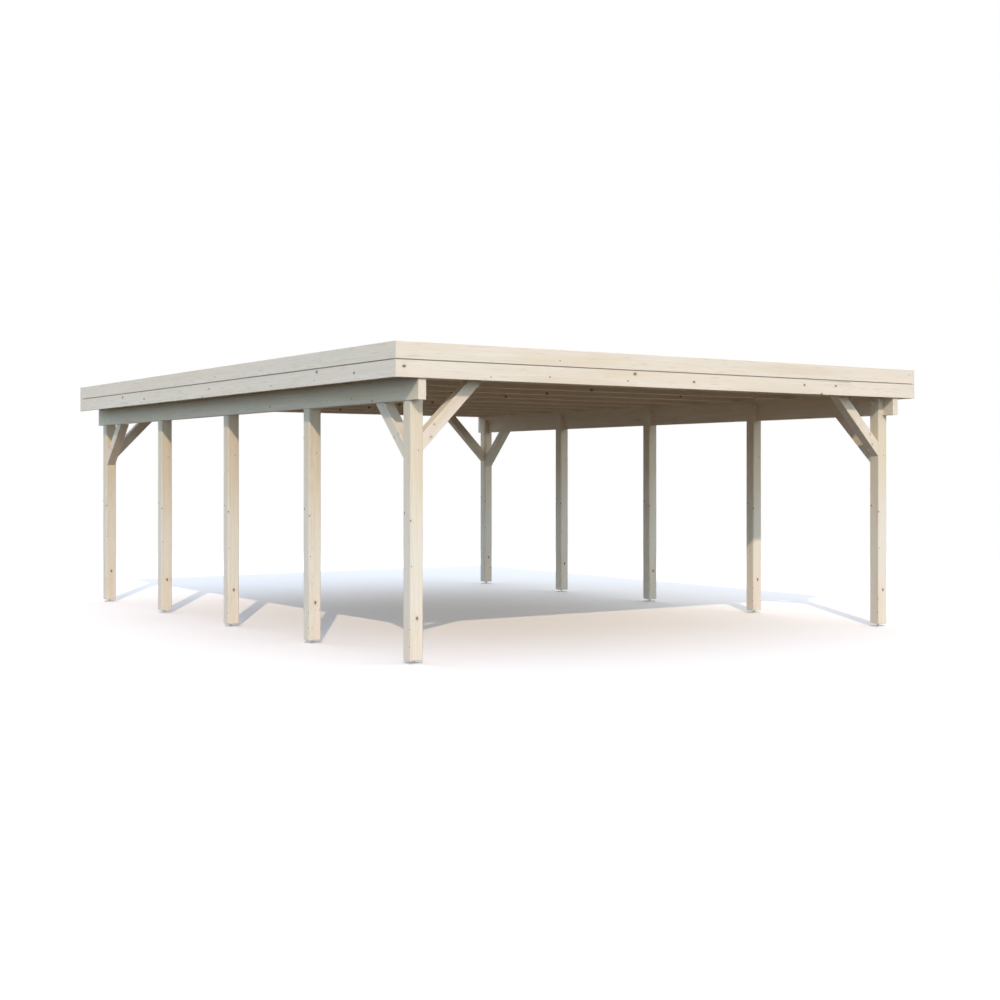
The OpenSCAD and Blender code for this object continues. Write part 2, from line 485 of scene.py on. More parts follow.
@dataclass(frozen=True)
class TimberFinish:
    """Planed spruce under a thin pale stain.

    Attributes:
        pale: Colour of the early wood.
        late: Colour of the late wood in the rings.
        streak: Colour of the broad darker streaks.
        ochre: Colour of the yellow streaks.
        dash: Colour of the short dark dashes.
        blush: Colour of the warm patches.
        ring_width: Width of a growth ring.
        contrast: How strongly the rings show.
        figure: How strongly the dashes show.
        yellow: How strongly the yellow streaks show.
        rim: Colour round a knot.
        core: Colour of a knot.
        crack: Colour of a hair crack.
        shade: Colour of the painted shade inside a groove.
        groove: Lowest and highest level of a groove whose recess is darkened with painted shade.
        roughness: Roughness of the planed face.
    """

    pale: Colour = (0.815, 0.755, 0.640)
    late: Colour = (0.640, 0.520, 0.370)
    streak: Colour = (0.725, 0.655, 0.535)
    ochre: Colour = (0.800, 0.670, 0.450)
    dash: Colour = (0.640, 0.490, 0.370)
    blush: Colour = (0.860, 0.725, 0.625)
    ring_width: float = 0.0042
    contrast: float = 0.34
    figure: float = 0.34
    yellow: float = 0.40
    rim: Colour = (0.430, 0.300, 0.180)
    core: Colour = (0.120, 0.078, 0.048)
    crack: Colour = (0.220, 0.160, 0.100)
    shade: Colour = (0.210, 0.150, 0.105)
    groove: tuple[float, float] | None = None
    roughness: float = 0.62

    def material(
        self, name: str, corners: tuple[Vector, Vector], grain: Grain, seed: int,
        marks: Sequence[Knot | Tint] = (), board_attribute: str = "",
    ) -> bpy.types.Material:
        """Builds the finish for one timber.

        Args:
            name: The material's name.
            corners: The timber's lowest and highest corner.
            grain: Which way its fibres run.
            seed: Chooses its heart and its place in the noise.
            marks: The knots and tints that are listed.
            board_attribute: Name of an attribute that shifts the figure from board to board.

        Returns:
            The material.
        """
        dice = random.Random(seed)
        material, bench, shader, place = new_material(name)
        middle = (corners[0] + corners[1]) / 2
        feeds = {"Vector": place, "Location": middle, "Rotation": grain.turn}
        own_place = bench.add("ShaderNodeMapping", feeds, vector_type="TEXTURE").outputs[0]
        shift = tuple(dice.uniform(0, 40) for _ in range(3))
        heart = (0.0, dice.uniform(-0.07, 0.07), dice.choice((-1, 1)) * dice.uniform(0.03, 0.09))
        if board_attribute:
            board = bench.add("ShaderNodeAttribute", attribute_name=board_attribute).outputs["Vector"]
            shift = bench.vector("ADD", board, shift)
            lean = bench.vector("MULTIPLY", board, (0.0, 0.004, 0.004))
            heart = bench.vector("ADD", heart, lean)
        chain: dict[str, Feed] = {"Cores": 0.0, "Rims": 0.0, "Swell": 0.0}
        to_own = grain.turn.to_matrix().inverted()
        for knot in (mark for mark in marks if isinstance(mark, Knot)):
            centre = to_own @ (corners[0] + Vector(knot.offset) - middle)
            feeds = {"Place": own_place, "Centre": centre, "Radius": knot.radius, **chain}
            step = bench.add("ShaderNodeGroup", feeds, node_tree=GROUPS["knot"])
            chain = {label: step.outputs[label] for label in chain}
        feeds = {"Place": own_place, "Heart": heart, "Shift": shift, "Swell": chain["Swell"]}
        feeds["Ring Width"] = self.ring_width
        mask = bench.add("ShaderNodeGroup", feeds, node_tree=GROUPS["timber"]).outputs
        cores = bench.calc("MAXIMUM", mask["Cores"], chain["Cores"])
        rims = bench.calc("MAXIMUM", mask["Rims"], chain["Rims"])
        facing = bench.add("ShaderNodeTexCoord").outputs["Normal"]
        end_grain = bench.calc("ABSOLUTE", bench.vector("DOT_PRODUCT", facing, tuple(grain.axis)))
        end_grain = bench.ramp(end_grain, 0.80, 0.95)
        rings = bench.times(mask["Rings"], bench.calc("MULTIPLY_ADD", end_grain, 0.25, self.contrast))
        cracks = bench.times(mask["Cracks"], bench.flip(end_grain))

        colour = self.pale
        for layer, share, tone in (
            (mask["Blush"], 0.70, self.blush),
            (mask["Streaks"], 0.34, self.streak),
            (mask["Ochre"], self.yellow, self.ochre),
            (mask["Dashes"], self.figure, self.dash),
        ):
            colour = bench.mix(bench.times(layer, share), colour, tone)
        for tint in (mark for mark in marks if isinstance(mark, Tint)):
            way = bench.vector("SUBTRACT", place, corners[0] + Vector(tint.offset))
            spread = bench.vector("LENGTH", bench.vector("DIVIDE", way, tint.reach))
            ragged = bench.calc("MULTIPLY_ADD", bench.calc("SUBTRACT", mask["Streaks"], 0.5), 0.35, spread)
            share = bench.calc("SUBTRACT", tint.share, bench.ramp(ragged, 0.30, 1.0, tint.share))
            colour = bench.mix(share, colour, tint.colour)
        for layer, share, tone in (
            (mask["Years"], 0.22, self.late),
            (rings, 1.0, self.late),
            (rims, 0.45, self.rim),
            (cores, 0.88, self.core),
            (cracks, 0.55, self.crack),
        ):
            colour = bench.mix(bench.times(layer, share), colour, tone)
        # Painted shade: the wood inside the groove's recess is darkened as if in shadow
        if self.groove:
            level = bench.split(place)[2]
            inside = bench.calc("GREATER_THAN", level, self.groove[0])
            inside = bench.times(inside, bench.calc("LESS_THAN", level, self.groove[1]))
            colour = bench.mix(bench.times(inside, 0.58), colour, self.shade)
        bench.feed(shader.inputs["Base Color"], colour)
        rough = bench.calc("MULTIPLY_ADD", mask["Fibres"], 0.10, self.roughness)
        bench.feed(shader.inputs["Roughness"], bench.calc("MULTIPLY_ADD", cores, -0.15, rough))
        height = bench.calc("MULTIPLY_ADD", rings, 0.8, mask["Fibres"])
        height = bench.calc("MULTIPLY_ADD", cracks, -2.0, height)
        bump = bench.add("ShaderNodeBump", {"Strength": 0.35, "Distance": 0.0006, "Height": height})
        bench.feed(shader.inputs["Normal"], bump.outputs[0])
        shader.inputs["Specular IOR Level"].default_value = 0.3
        return material

    def dress(self, node: str, grain: Grain, seed: int, marks: Sequence[Knot | Tint] = ()) -> None:
        """Gives a timber of the construction its finish.

        Args:
            node: The timber's node.
            grain: Which way its fibres run.
            seed: Chooses its figure.
            marks: The knots and tints that are listed.
        """
        finish = self.material(node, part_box(node), grain, seed, marks)
        put_on(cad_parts[node], finish)


@dataclass(frozen=True)
class SteelFinish:
    """Hot-dip galvanised steel with spangle and a dull bloom.

    Attributes:
        bright: Colour of the lighter crystals.
        dull: Colour of the darker crystals.
        metallic: How metallic the coating is.
        spangle: Crystals per metre.
    """

    bright: Colour = (0.80, 0.80, 0.78)
    dull: Colour = (0.64, 0.65, 0.64)
    metallic: float = 0.40
    spangle: float = 160.0

    def material(self, name: str) -> bpy.types.Material:
        """Builds the finish.

        Args:
            name: The material's name.

        Returns:
            The material.
        """
        material, bench, shader, place = new_material(name)
        feeds = {"Place": place, "Patches": self.spangle, "Clouds": 14.0}
        tone, cloud = bench.add("ShaderNodeGroup", feeds, node_tree=GROUPS["speckle"]).outputs
        bench.feed(shader.inputs["Base Color"], bench.mix(tone, self.dull, self.bright))
        rough = bench.calc("MULTIPLY_ADD", cloud, 0.30, 0.25)
        bench.feed(shader.inputs["Roughness"], bench.calc("MULTIPLY_ADD", tone, 0.12, rough))
        bump = bench.add("ShaderNodeBump", {"Strength": 0.15, "Distance": 0.0003, "Height": tone})
        bench.feed(shader.inputs["Normal"], bump.outputs[0])
        shader.inputs["Metallic"].default_value = self.metallic
        return material


@dataclass(frozen=True)
class FeltFinish:
    """Bitumen felt with slate granules.

    Attributes:
        dark: Colour of the bitumen and the darkest granules.
        light: Colour of the lightest granules.
        dust: Colour of the dust that lies on it in patches.
        granules: Granules per metre.
    """

    dark: Colour = (0.050, 0.053, 0.056)
    light: Colour = (0.185, 0.190, 0.190)
    dust: Colour = (0.160, 0.155, 0.145)
    granules: float = 420.0

    def material(self, name: str) -> bpy.types.Material:
        """Builds the finish.

        Args:
            name: The material's name.

        Returns:
            The material.
        """
        material, bench, shader, place = new_material(name)
        feeds = {"Place": place, "Patches": self.granules, "Clouds": 2.2}
        tone, cloud = bench.add("ShaderNodeGroup", feeds, node_tree=GROUPS["speckle"]).outputs
        colour = bench.mix(tone, self.dark, self.light)
        colour = bench.mix(bench.times(bench.ramp(cloud, 0.35, 0.70), 0.35), colour, self.dust)
        bench.feed(shader.inputs["Base Color"], colour)
        bench.feed(shader.inputs["Roughness"], bench.calc("MULTIPLY_ADD", tone, 0.15, 0.78))
        bump = bench.add("ShaderNodeBump", {"Strength": 0.6, "Distance": 0.0012, "Height": tone})
        bench.feed(shader.inputs["Normal"], bump.outputs[0])
        return material


FRAME_TIMBER = TimberFinish()
FASCIA_TIMBER = TimberFinish(
    pale=(0.802, 0.745, 0.640), streak=(0.715, 0.645, 0.530), ring_width=0.0036, contrast=0.26,
    figure=0.46, yellow=0.22, groove=GROOVE,
)
ROOF_TIMBER = TimberFinish(pale=(0.800, 0.725, 0.590), contrast=0.40)
ZINC = SteelFinish(bright=(0.74, 0.72, 0.66), dull=(0.60, 0.58, 0.52), spangle=900.0)


# --- Meshes -------------------------------------------------------------------------------


def put_on(piece: bpy.types.Object, material: bpy.types.Material) -> None:
    """Puts a material in every material slot of an object.

    Args:
        piece: The object to dress.
        material: Its material.
    """
    if not piece.material_slots:
        piece.data.materials.append(material)
    for slot in piece.material_slots:
        slot.material = material


def mesh_object(
    name: str, points: Iterable[Sequence[float]], faces: Iterable[Sequence[int]]
) -> bpy.types.Object:
    """Makes an object from points and faces.

    Args:
        name: The object's name.
        points: Its corners.
        faces: The corners of each face.

    Returns:
        The object, linked to the scene.
    """
    mesh = bpy.data.meshes.new(name)
    mesh.from_pydata([tuple(point) for point in points], [], [tuple(face) for face in faces])
    mesh.update()
    piece = bpy.data.objects.new(name, mesh)
    bpy.context.scene.collection.objects.link(piece)
    return piece


class MeshPile:
    """Collects many closed shapes into one mesh."""

    def __init__(self) -> None:
        """Starts empty."""
        self.points: list[Sequence[float]] = []
        self.faces: list[Sequence[int]] = []

    def rings(self, rings: Sequence[Sequence[Sequence[float]]], closed: bool = False) -> None:
        """Skins a row of outlines with as many corners each.

        Args:
            rings: The outlines, anticlockwise as seen from the far end.
            closed: True where the last outline joins the first, and False for capped ends.
        """
        start, size = len(self.points), len(rings[0])
        for ring in rings:
            self.points.extend(ring)
        for row in range(len(rings) if closed else len(rings) - 1):
            here, there = start + row * size, start + (row + 1) % len(rings) * size
            for i in range(size):
                j = (i + 1) % size
                self.faces.append((here + i, here + j, there + j, there + i))
        if not closed:
            last = start + (len(rings) - 1) * size
            self.faces.append(tuple(range(start + size - 1, start - 1, -1)))
            self.faces.append(tuple(range(last, last + size)))

    def build(self, name: str) -> bpy.types.Object:
        """Makes the object and turns its faces outwards.

        Args:
            name: The object's name.

        Returns:
            The object.
        """
        piece = mesh_object(name, self.points, self.faces)
        work = bmesh.new()
        work.from_mesh(piece.data)
        bmesh.ops.recalc_face_normals(work, faces=work.faces)
        work.to_mesh(piece.data)
        work.free()
        return piece


def run_tree(
    host: bpy.types.Object, tree: bpy.types.NodeTree, name: str, values: dict[str, object]
) -> bpy.types.Object:
    """Runs a geometry tree on a host and keeps the result as a plain mesh.

    Args:
        host: The object that carries the modifier. It is removed.
        tree: The geometry tree.
        name: The new object's name.
        values: The tree's inputs, by name.

    Returns:
        The new object, with no modifier.
    """
    modifier = host.modifiers.new(tree.name, "NODES")
    modifier.node_group = tree
    for item in tree.interface.items_tree:
        if item.in_out == "INPUT" and item.name in values:
            modifier[item.identifier] = values[item.name]
    host.update_tag()
    bpy.context.view_layer.update()
    graph = bpy.context.evaluated_depsgraph_get()
    result = host.evaluated_get(graph)
    mesh = bpy.data.meshes.new_from_object(result, preserve_all_data_layers=True, depsgraph=graph)
    mesh.name = name
    host.modifiers.remove(modifier)
    bpy.data.objects.remove(host)
    piece = bpy.data.objects.new(name, mesh)
    bpy.context.scene.collection.objects.link(piece)
    return piece


def corners_of(piece: bpy.types.Object) -> tuple[Vector, Vector]:
    """The lowest and highest corner of a piece."""
    return Vector(piece.bound_box[0]), Vector(piece.bound_box[6])


def hand_in(piece: bpy.types.Object, slot: Slot, *stands_for: str) -> None:
    """Attaches a finished piece to the root body and hides the nodes that it stands for.

    Args:
        piece: The piece.
        slot: Not used.
        *stands_for: Nodes that it replaces.
    """
    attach(piece, ROOT_BODY)
    if stands_for:
        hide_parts(*stands_for)
    LOG.info("%s: %d faces", piece.name, len(piece.data.polygons))


# --- Fixings ------------------------------------------------------------------------------


@dataclass(frozen=True)
class Fixing:
    """A screw or nail head, lathed round Z with its seat at 0.

    Attributes:
        radius: Radius of the head.
        rise: How far the head stands proud.
        recess: Radius of the drive recess, or 0 for a plain nail.
        sides: Corners round the head.
    """

    radius: float
    rise: float
    recess: float = 0.0
    sides: int = 12

    def ring(self, radius: float, height: float, lobes: float = 0.0) -> list[Point]:
        """One ring of the head.

        Args:
            radius: Its mean radius.
            height: Its height.
            lobes: How far every other corner stands out, as a share of the radius.

        Returns:
            Its corners.
        """
        corners = []
        for i in range(self.sides):
            angle = 2 * math.pi * i / self.sides
            reach = radius * (1 + lobes * (1 if i % 2 else -1))
            corners.append((reach * math.cos(angle), reach * math.sin(angle), height))
        return corners

    def blank(self) -> bpy.types.Object:
        """Makes the head as an object that the geometry tree copies."""
        rings = [self.ring(self.radius, -AWAY), self.ring(self.radius, self.rise * 0.4)]
        rings.append(self.ring(self.radius * 0.82, self.rise))
        if self.recess:
            rings.append(self.ring(self.recess, self.rise, 0.16))
            rings.append(self.ring(self.recess * 0.9, self.rise - self.radius * 0.45, 0.16))
        pile = MeshPile()
        pile.rings(rings)
        return pile.build("fixing_blank")


def fixing_tree() -> bpy.types.NodeTree:
    """Builds the tree that seats a fixing on each point of its host.

    Each copy looks along the point's "facing" attribute and has its own turn about it.

    Returns:
        The tree.
    """
    inputs = {"Geometry": "Geometry", "Fixing": "Object", "Seed": "Int", "Material": "Material"}
    bench, source, sink = open_group("fixings", "Geometry", inputs, {"Geometry": "Geometry"})
    facing = bench.add("GeometryNodeInputNamedAttribute", {"Name": "facing"}, data_type="FLOAT_VECTOR")
    seated = bench.add("FunctionNodeAlignRotationToVector", {"Vector": facing.outputs[0]}, axis="Z")
    spin = bench.add("FunctionNodeRandomValue", {2: 0.0, 3: math.tau, "Seed": source.outputs["Seed"]})
    spin = bench.add("FunctionNodeEulerToRotation", {0: bench.merge(0.0, 0.0, spin.outputs[1])})
    feeds = {0: seated.outputs[0], 1: spin.outputs[0]}
    turned = bench.add("FunctionNodeRotateRotation", feeds, rotation_space="LOCAL")
    head = bench.add("GeometryNodeObjectInfo", {"Object": source.outputs["Fixing"]})
    feeds = {"Points": source.outputs["Geometry"], "Instance": head.outputs["Geometry"]}
    feeds["Rotation"] = turned.outputs[0]
    copies = bench.add("GeometryNodeInstanceOnPoints", feeds)
    return bench.close(sink, copies.outputs[0], source.outputs["Material"])


@dataclass
class FixingRow:
    """Fixings of one kind, collected place by place and made as one piece.

    Attributes:
        name: The piece's name.
        fixing: The shape of one head.
        seed: Turns the recesses.
    """

    name: str
    fixing: Fixing
    seed: int

    def __post_init__(self) -> None:
        """Starts with no places."""
        self.places: list[Vector] = []
        self.facings: list[Vector] = []

    def drive(self, place: Sequence[float], facing: Sequence[float]) -> None:
        """Adds a fixing.

        Args:
            place: Where its head seats.
            facing: The direction that the head looks.
        """
        self.places.append(Vector(place))
        self.facings.append(Vector(facing).normalized())

    def build(self, tree: bpy.types.NodeTree, finish: bpy.types.Material) -> None:
        """Makes all the heads.

        Args:
            tree: The tree that seats them.
            finish: Their material.
        """
        host = mesh_object(self.name + "_host", self.places, [])
        facing = host.data.attributes.new("facing", "FLOAT_VECTOR", "POINT")
        facing.data.foreach_set("vector", [part for look in self.facings for part in look])
        blank = self.fixing.blank()
        values = {"Fixing": blank, "Seed": self.seed, "Material": finish}
        piece = run_tree(host, tree, self.name, values)
        bpy.data.objects.remove(blank)
        hand_in(piece, Slot.STEEL)


SCREW = Fixing(radius=0.0045, rise=0.0005, recess=0.0020)
FLANGE_SCREW = Fixing(radius=0.0080, rise=0.0030, recess=0.0032)
CLOUT_NAIL = Fixing(radius=0.0050, rise=0.0008, sides=10)


# --- Posts and their feet -----------------------------------------------------------------


@dataclass
class PostRow:
    """The posts under one beam.

    Attributes:
        side: Which long side they stand on.
        count: How many there are.
        marks: The knots and tints that each post shows.
        screw_heights: Heights of the screws through the tongue, above the beam's underside.
        screw_stagger: How far those screws stand off the post's middle.
        seeds: Choose the front post's figure, on the left and on the right.
    """

    side: Side
    count: int = 5
    marks: tuple[Knot | Tint, ...] = (
        Knot((0.062, 0.0, 0.338), 0.0105),
        Knot((0.074, 0.0, 1.70), 0.0040),
        Knot((0.004, 0.004, 1.13), 0.0055),
        Knot((0.0, 0.096, 1.19), 0.0060),
        Knot((0.010, 0.0, 0.76), 0.0038),
        Knot((0.0, 0.012, 0.25), 0.0038),
        Knot((0.0, 0.014, 0.11), 0.0042),
        Tint((0.060, 0.0, 1.75), (0.16, 0.16, 0.62), (0.730, 0.615, 0.430), 0.48),
        Tint((0.092, 0.0, 1.68), (0.022, 0.09, 0.40), (0.720, 0.610, 0.420), 0.38),
        Tint((0.050, 0.0, 0.72), (0.16, 0.16, 0.50), (0.825, 0.780, 0.690), 0.70),
        Tint((0.100, 0.0, 0.20), (0.040, 0.09, 0.26), (0.870, 0.750, 0.670), 0.50),
    )
    screw_heights: tuple[float, float] = (0.050, 0.125)
    screw_stagger: float = 0.028
    seeds: tuple[int, int] = (100, 300)

    def nodes(self) -> list[str]:
        """The posts' nodes, from the front."""
        return [f"post_{self.side.word}_{i + 1}" for i in range(self.count)]

    def dress(self) -> None:
        """Gives each post its finish."""
        seed = self.seeds[self.side is Side.RIGHT]
        for i, node in enumerate(self.nodes()):
            FRAME_TIMBER.dress(node, Grain.UPRIGHT, seed + i, self.marks)
        LOG.info("posts on the %s: %d", self.side.word, self.count)

    def drive_screws(self, row: FixingRow) -> None:
        """Drives the screws that hold the tongues to the beam.

        Args:
            row: The row that collects them.
        """
        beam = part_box(f"beam_{self.side.word}")
        for node in self.nodes():
            low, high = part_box(node)
            face = high.x if self.side is Side.LEFT else low.x
            for height, turn in zip(self.screw_heights, (-1, 1)):
                y = (low.y + high.y) / 2 + turn * self.screw_stagger
                row.drive((face, y, beam[0].z + height), (-self.side.value, 0, 0))


def plate(
    bench: NodeBench, outline: bpy.types.NodeSocket, thickness: bpy.types.NodeSocket
) -> bpy.types.NodeSocket:
    """Makes a closed plate.

    Args:
        bench: The bench of a geometry tree.
        outline: The plate's edge and holes, as curves.
        thickness: Its thickness.

    Returns:
        The plate, with its underside at 0.
    """
    face = bench.add("GeometryNodeFillCurve", {0: outline}, mode="TRIANGLES").outputs[0]
    walls = bench.add("GeometryNodeExtrudeMesh", {0: face, 3: thickness, 4: False}, mode="FACES")
    below = bench.add("GeometryNodeFlipFaces", {0: face})
    shell = bench.join(walls.outputs[0], below.outputs[0])
    return bench.add("GeometryNodeMergeByDistance", {0: shell, 2: 0.00001}).outputs[0]


def swept_ring(
    bench: NodeBench, path: bpy.types.NodeSocket, sides: int, radius: Feed, caps: bool
) -> bpy.types.NodeSocket:
    """Sweeps a round section along a path.

    Args:
        bench: The bench of a geometry tree.
        path: The curve that it follows.
        sides: Corners of the section.
        radius: Its radius.
        caps: True for an open path, whose ends are closed.

    Returns:
        The swept shape.
    """
    section = bench.add("GeometryNodeCurvePrimitiveCircle", {0: sides, 4: radius})
    feeds = {"Curve": path, "Profile Curve": section.outputs[0], "Fill Caps": caps}
    return bench.add("GeometryNodeCurveToMesh", feeds).outputs[0]


def foot_tree() -> bpy.types.NodeTree:
    """Builds the tree that stands a steel foot on each point of its host.

    A foot is a drilled base plate, a threaded stem between two weld beads and a head plate.

    Returns:
        The tree.
    """
    inputs = {"Geometry": "Geometry"}
    sizes = ("Plate", "Corner", "Thickness", "Hole", "Spacing", "Stem", "Height", "Pitch", "Bead")
    inputs |= {size: "Float" for size in sizes}
    inputs |= {"Turns": "Float", "Material": "Material"}
    bench, source, sink = open_group("post_feet", "Geometry", inputs, {"Geometry": "Geometry"})
    size = source.outputs
    seat = bench.calc("SUBTRACT", size["Height"], size["Thickness"])

    edge = bench.add("GeometryNodeCurvePrimitiveQuadrilateral", {0: size["Plate"], 1: size["Plate"]})
    feeds = {0: edge.outputs[0], 1: 5, 2: size["Corner"]}
    edge = bench.add("GeometryNodeFilletCurve", feeds, mode="POLY").outputs[0]
    corners = bench.add("GeometryNodeMeshGrid", {0: size["Spacing"], 1: size["Spacing"], 2: 2, 3: 2})
    hole = bench.add("GeometryNodeCurvePrimitiveCircle", {0: 20, 4: bench.calc("DIVIDE", size["Hole"], 2.0)})
    holes = bench.add("GeometryNodeInstanceOnPoints", {0: corners.outputs[0], 2: hole.outputs[0]})
    holes = bench.add("GeometryNodeRealizeInstances", {0: holes.outputs[0]})
    drilled = bench.join(edge, holes.outputs[0])
    base = bench.lift(plate(bench, drilled, size["Thickness"]), 0.0)
    head = bench.lift(plate(bench, edge, size["Thickness"]), seat)

    length = bench.calc("MULTIPLY_ADD", size["Thickness"], -2.0, size["Height"])
    radius = bench.calc("DIVIDE", size["Stem"], 2.0)
    stem = bench.add("GeometryNodeMeshCylinder", {0: 24, 3: radius, 4: length})
    stem = bench.lift(stem.outputs[0], bench.calc("DIVIDE", size["Height"], 2.0))
    coil = bench.add("GeometryNodeCurveSpiral", {0: 20, 1: size["Turns"], 2: radius, 3: radius, 4: length})
    thread = swept_ring(bench, coil.outputs[0], 4, bench.times(size["Pitch"], 0.32), True)
    thread = bench.lift(thread, size["Thickness"])
    seam = bench.add("GeometryNodeCurvePrimitiveCircle", {0: 24, 4: radius})
    bead = swept_ring(bench, seam.outputs[0], 8, size["Bead"], False)
    beads = [bench.lift(bead, level) for level in (size["Thickness"], seat)]

    foot = bench.join(base, head, stem, thread, *beads)
    feet = bench.add("GeometryNodeInstanceOnPoints", {0: size["Geometry"], 2: foot})
    return bench.close(sink, feet.outputs[0], size["Material"])


@dataclass
class PostFeet:
    """The steel feet under one row of posts.

    Attributes:
        posts: The posts that they carry.
        thickness: Thickness of the plates.
        corner: Radius of the plates' corners.
        hole: Diameter of an anchor hole.
        spacing: Distance between neighbouring anchor holes.
        stem: Diameter of the stem.
        pitch: Pitch of the stem's thread.
        bead: Radius of the weld beads.
    """

    posts: PostRow
    thickness: float = 0.006
    corner: float = 0.006
    hole: float = 0.011
    spacing: float = 0.078
    stem: float = 0.024
    pitch: float = 0.0030
    bead: float = 0.0022

    def build(self, tree: bpy.types.NodeTree, finish: bpy.types.Material) -> None:
        """Makes the feet in place of the plain ones.

        Args:
            tree: The tree that stands them on their points.
            finish: Their material.
        """
        node = f"post_feet_{self.posts.side.word}"
        low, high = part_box(node)
        x = (low.x + high.x) / 2
        spots = []
        for post in self.posts.nodes():
            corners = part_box(post)
            spots.append((x, (corners[0].y + corners[1].y) / 2, low.z))
        height = high.z - low.z
        values = {
            "Plate": high.x - low.x, "Corner": self.corner, "Thickness": self.thickness, "Hole": self.hole,
            "Spacing": self.spacing, "Stem": self.stem, "Height": height, "Pitch": self.pitch,
            "Bead": self.bead, "Turns": (height - 2 * self.thickness) / self.pitch, "Material": finish,
        }
        host = mesh_object(node + "_host", spots, [])
        piece = run_tree(host, tree, f"steel_feet_{self.posts.side.word}", values)
        hand_in(piece, Slot.STEEL, node)


# --- Beams, braces and rafters ------------------------------------------------------------


@dataclass
class SideBeam:
    """The beam along one side.

    Attributes:
        side: Which long side it is on.
        knots: The knots on its outer face, as place along it, height above its underside and radius.
        seeds: Choose its figure, on the left and on the right.
    """

    side: Side
    knots: tuple[Point, ...] = (
        (0.76, 0.018, 0.0075), (1.12, 0.050, 0.0060), (2.76, 0.043, 0.0055), (4.63, 0.070, 0.0055),
    )
    seeds: tuple[int, int] = (39, 47)

    def dress(self) -> None:
        """Gives the beam its finish."""
        node = f"beam_{self.side.word}"
        low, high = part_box(node)
        outer = 0.0 if self.side is Side.LEFT else high.x - low.x
        knots = [Knot((outer, along, height), radius) for along, height, radius in self.knots]
        FRAME_TIMBER.dress(node, Grain.ALONG_BAY, self.seeds[self.side is Side.RIGHT], knots)
        LOG.info("beam on the %s", self.side.word)


@dataclass
class CornerBraces:
    """The two braces at one corner post: one along the beam and one across the bay.

    Attributes:
        end: The corner's short side.
        side: The corner's long side.
        cross_knots: Knots of the brace across the bay, on its outer face, as distance from its toe,
            distance from its lower face and radius.
        beam_knots: Knots of the brace along the beam, in the same way.
        halo: Colour of the wood round a knot.
        halo_reach: How far that colour spreads.
        halo_share: How strongly it shows.
        screw_inset: From a brace's end to its screws, along its lower edge.
        screw_spread: Distance between the two screws at an end.
        seed: Chooses the braces' figures.
    """

    end: End
    side: Side
    cross_knots: tuple[Point, ...] = ((0.137, 0.024, 0.0046), (0.233, 0.074, 0.0038))
    beam_knots: tuple[Point, ...] = ((0.217, 0.087, 0.0040), (0.247, 0.017, 0.0036))
    halo: Colour = (0.560, 0.530, 0.400)
    halo_reach: float = 0.027
    halo_share: float = 0.55
    screw_inset: float = 0.085
    screw_spread: float = 0.050
    seed: int = 60

    def directions(self) -> dict[str, tuple[Vector, Vector]]:
        """The ways inwards from the post and outwards from the seen face, for each kind of brace."""
        to_side, to_end = Vector((self.side.value, 0, 0)), Vector((0, self.end.value, 0))
        return {"cross": (-to_side, to_end), "beam": (-to_end, to_side)}

    def node(self, kind: str) -> str:
        """The node of one kind of brace."""
        return f"{kind}_brace_{self.end.word}_{self.side.word}"

    def run(self, kind: str) -> float:
        """How far a brace reaches from its post."""
        low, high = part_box(self.node(kind))
        return abs((high - low).dot(self.directions()[kind][0]))

    def toe(self, kind: str) -> Vector:
        """Finds the middle of a brace's lowest edge.

        Args:
            kind: The kind of brace.

        Returns:
            Its place.
        """
        low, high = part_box(self.node(kind))
        toe = (low + high) / 2 - self.directions()[kind][0] * self.run(kind) / 2
        toe.z = low.z
        return toe

    def marks(self, kind: str, places: Sequence[Point]) -> list[Knot | Tint]:
        """Works out a brace's knots and the tinted wood round them.

        Args:
            kind: The kind of brace.
            places: Their distances from the toe and from the lower face, and their radii.

        Returns:
            The knots and the tints.
        """
        inwards, outwards = self.directions()[kind]
        low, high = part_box(self.node(kind))
        start = self.toe(kind) - low + outwards * abs((high - low).dot(outwards)) / 2
        rise, across = (UP + inwards).normalized(), (UP - inwards).normalized()
        marks = []
        for distance, height, radius in places:
            place = tuple(start + rise * distance + across * height)
            marks.append(Tint(place, (self.halo_reach,) * 3, self.halo, self.halo_share))
            marks.append(Knot(place, radius))
        return marks

    def dress(self) -> None:
        """Gives both braces their finish."""
        seed = self.seed + 3 * self.end.value + self.side.value
        across = Grain.RISING_RIGHT if self.side is Side.LEFT else Grain.RISING_LEFT
        along = Grain.RISING_BACK if self.end is End.FRONT else Grain.RISING_FRONT
        FRAME_TIMBER.dress(self.node("cross"), across, seed, self.marks("cross", self.cross_knots))
        FRAME_TIMBER.dress(self.node("beam"), along, seed + 20, self.marks("beam", self.beam_knots))
        LOG.info("braces at the %s %s corner", self.end.word, self.side.word)

    def drive_screws(self, row: FixingRow) -> None:
        """Drives two screws into each end of each brace, from its lower face.

        Args:
            row: The row that collects them.
        """
        for kind, (inwards, _) in self.directions().items():
            rise = (UP + inwards).normalized()
            across = Vector((inwards.y, inwards.x, 0))
            length = self.run(kind) * math.sqrt(2)
            for distance in (self.screw_inset, length - self.screw_inset):
                for spread in (-0.5, 0.5):
                    place = self.toe(kind) + rise * distance + across * spread * self.screw_spread
                    row.drive(place, inwards - UP)


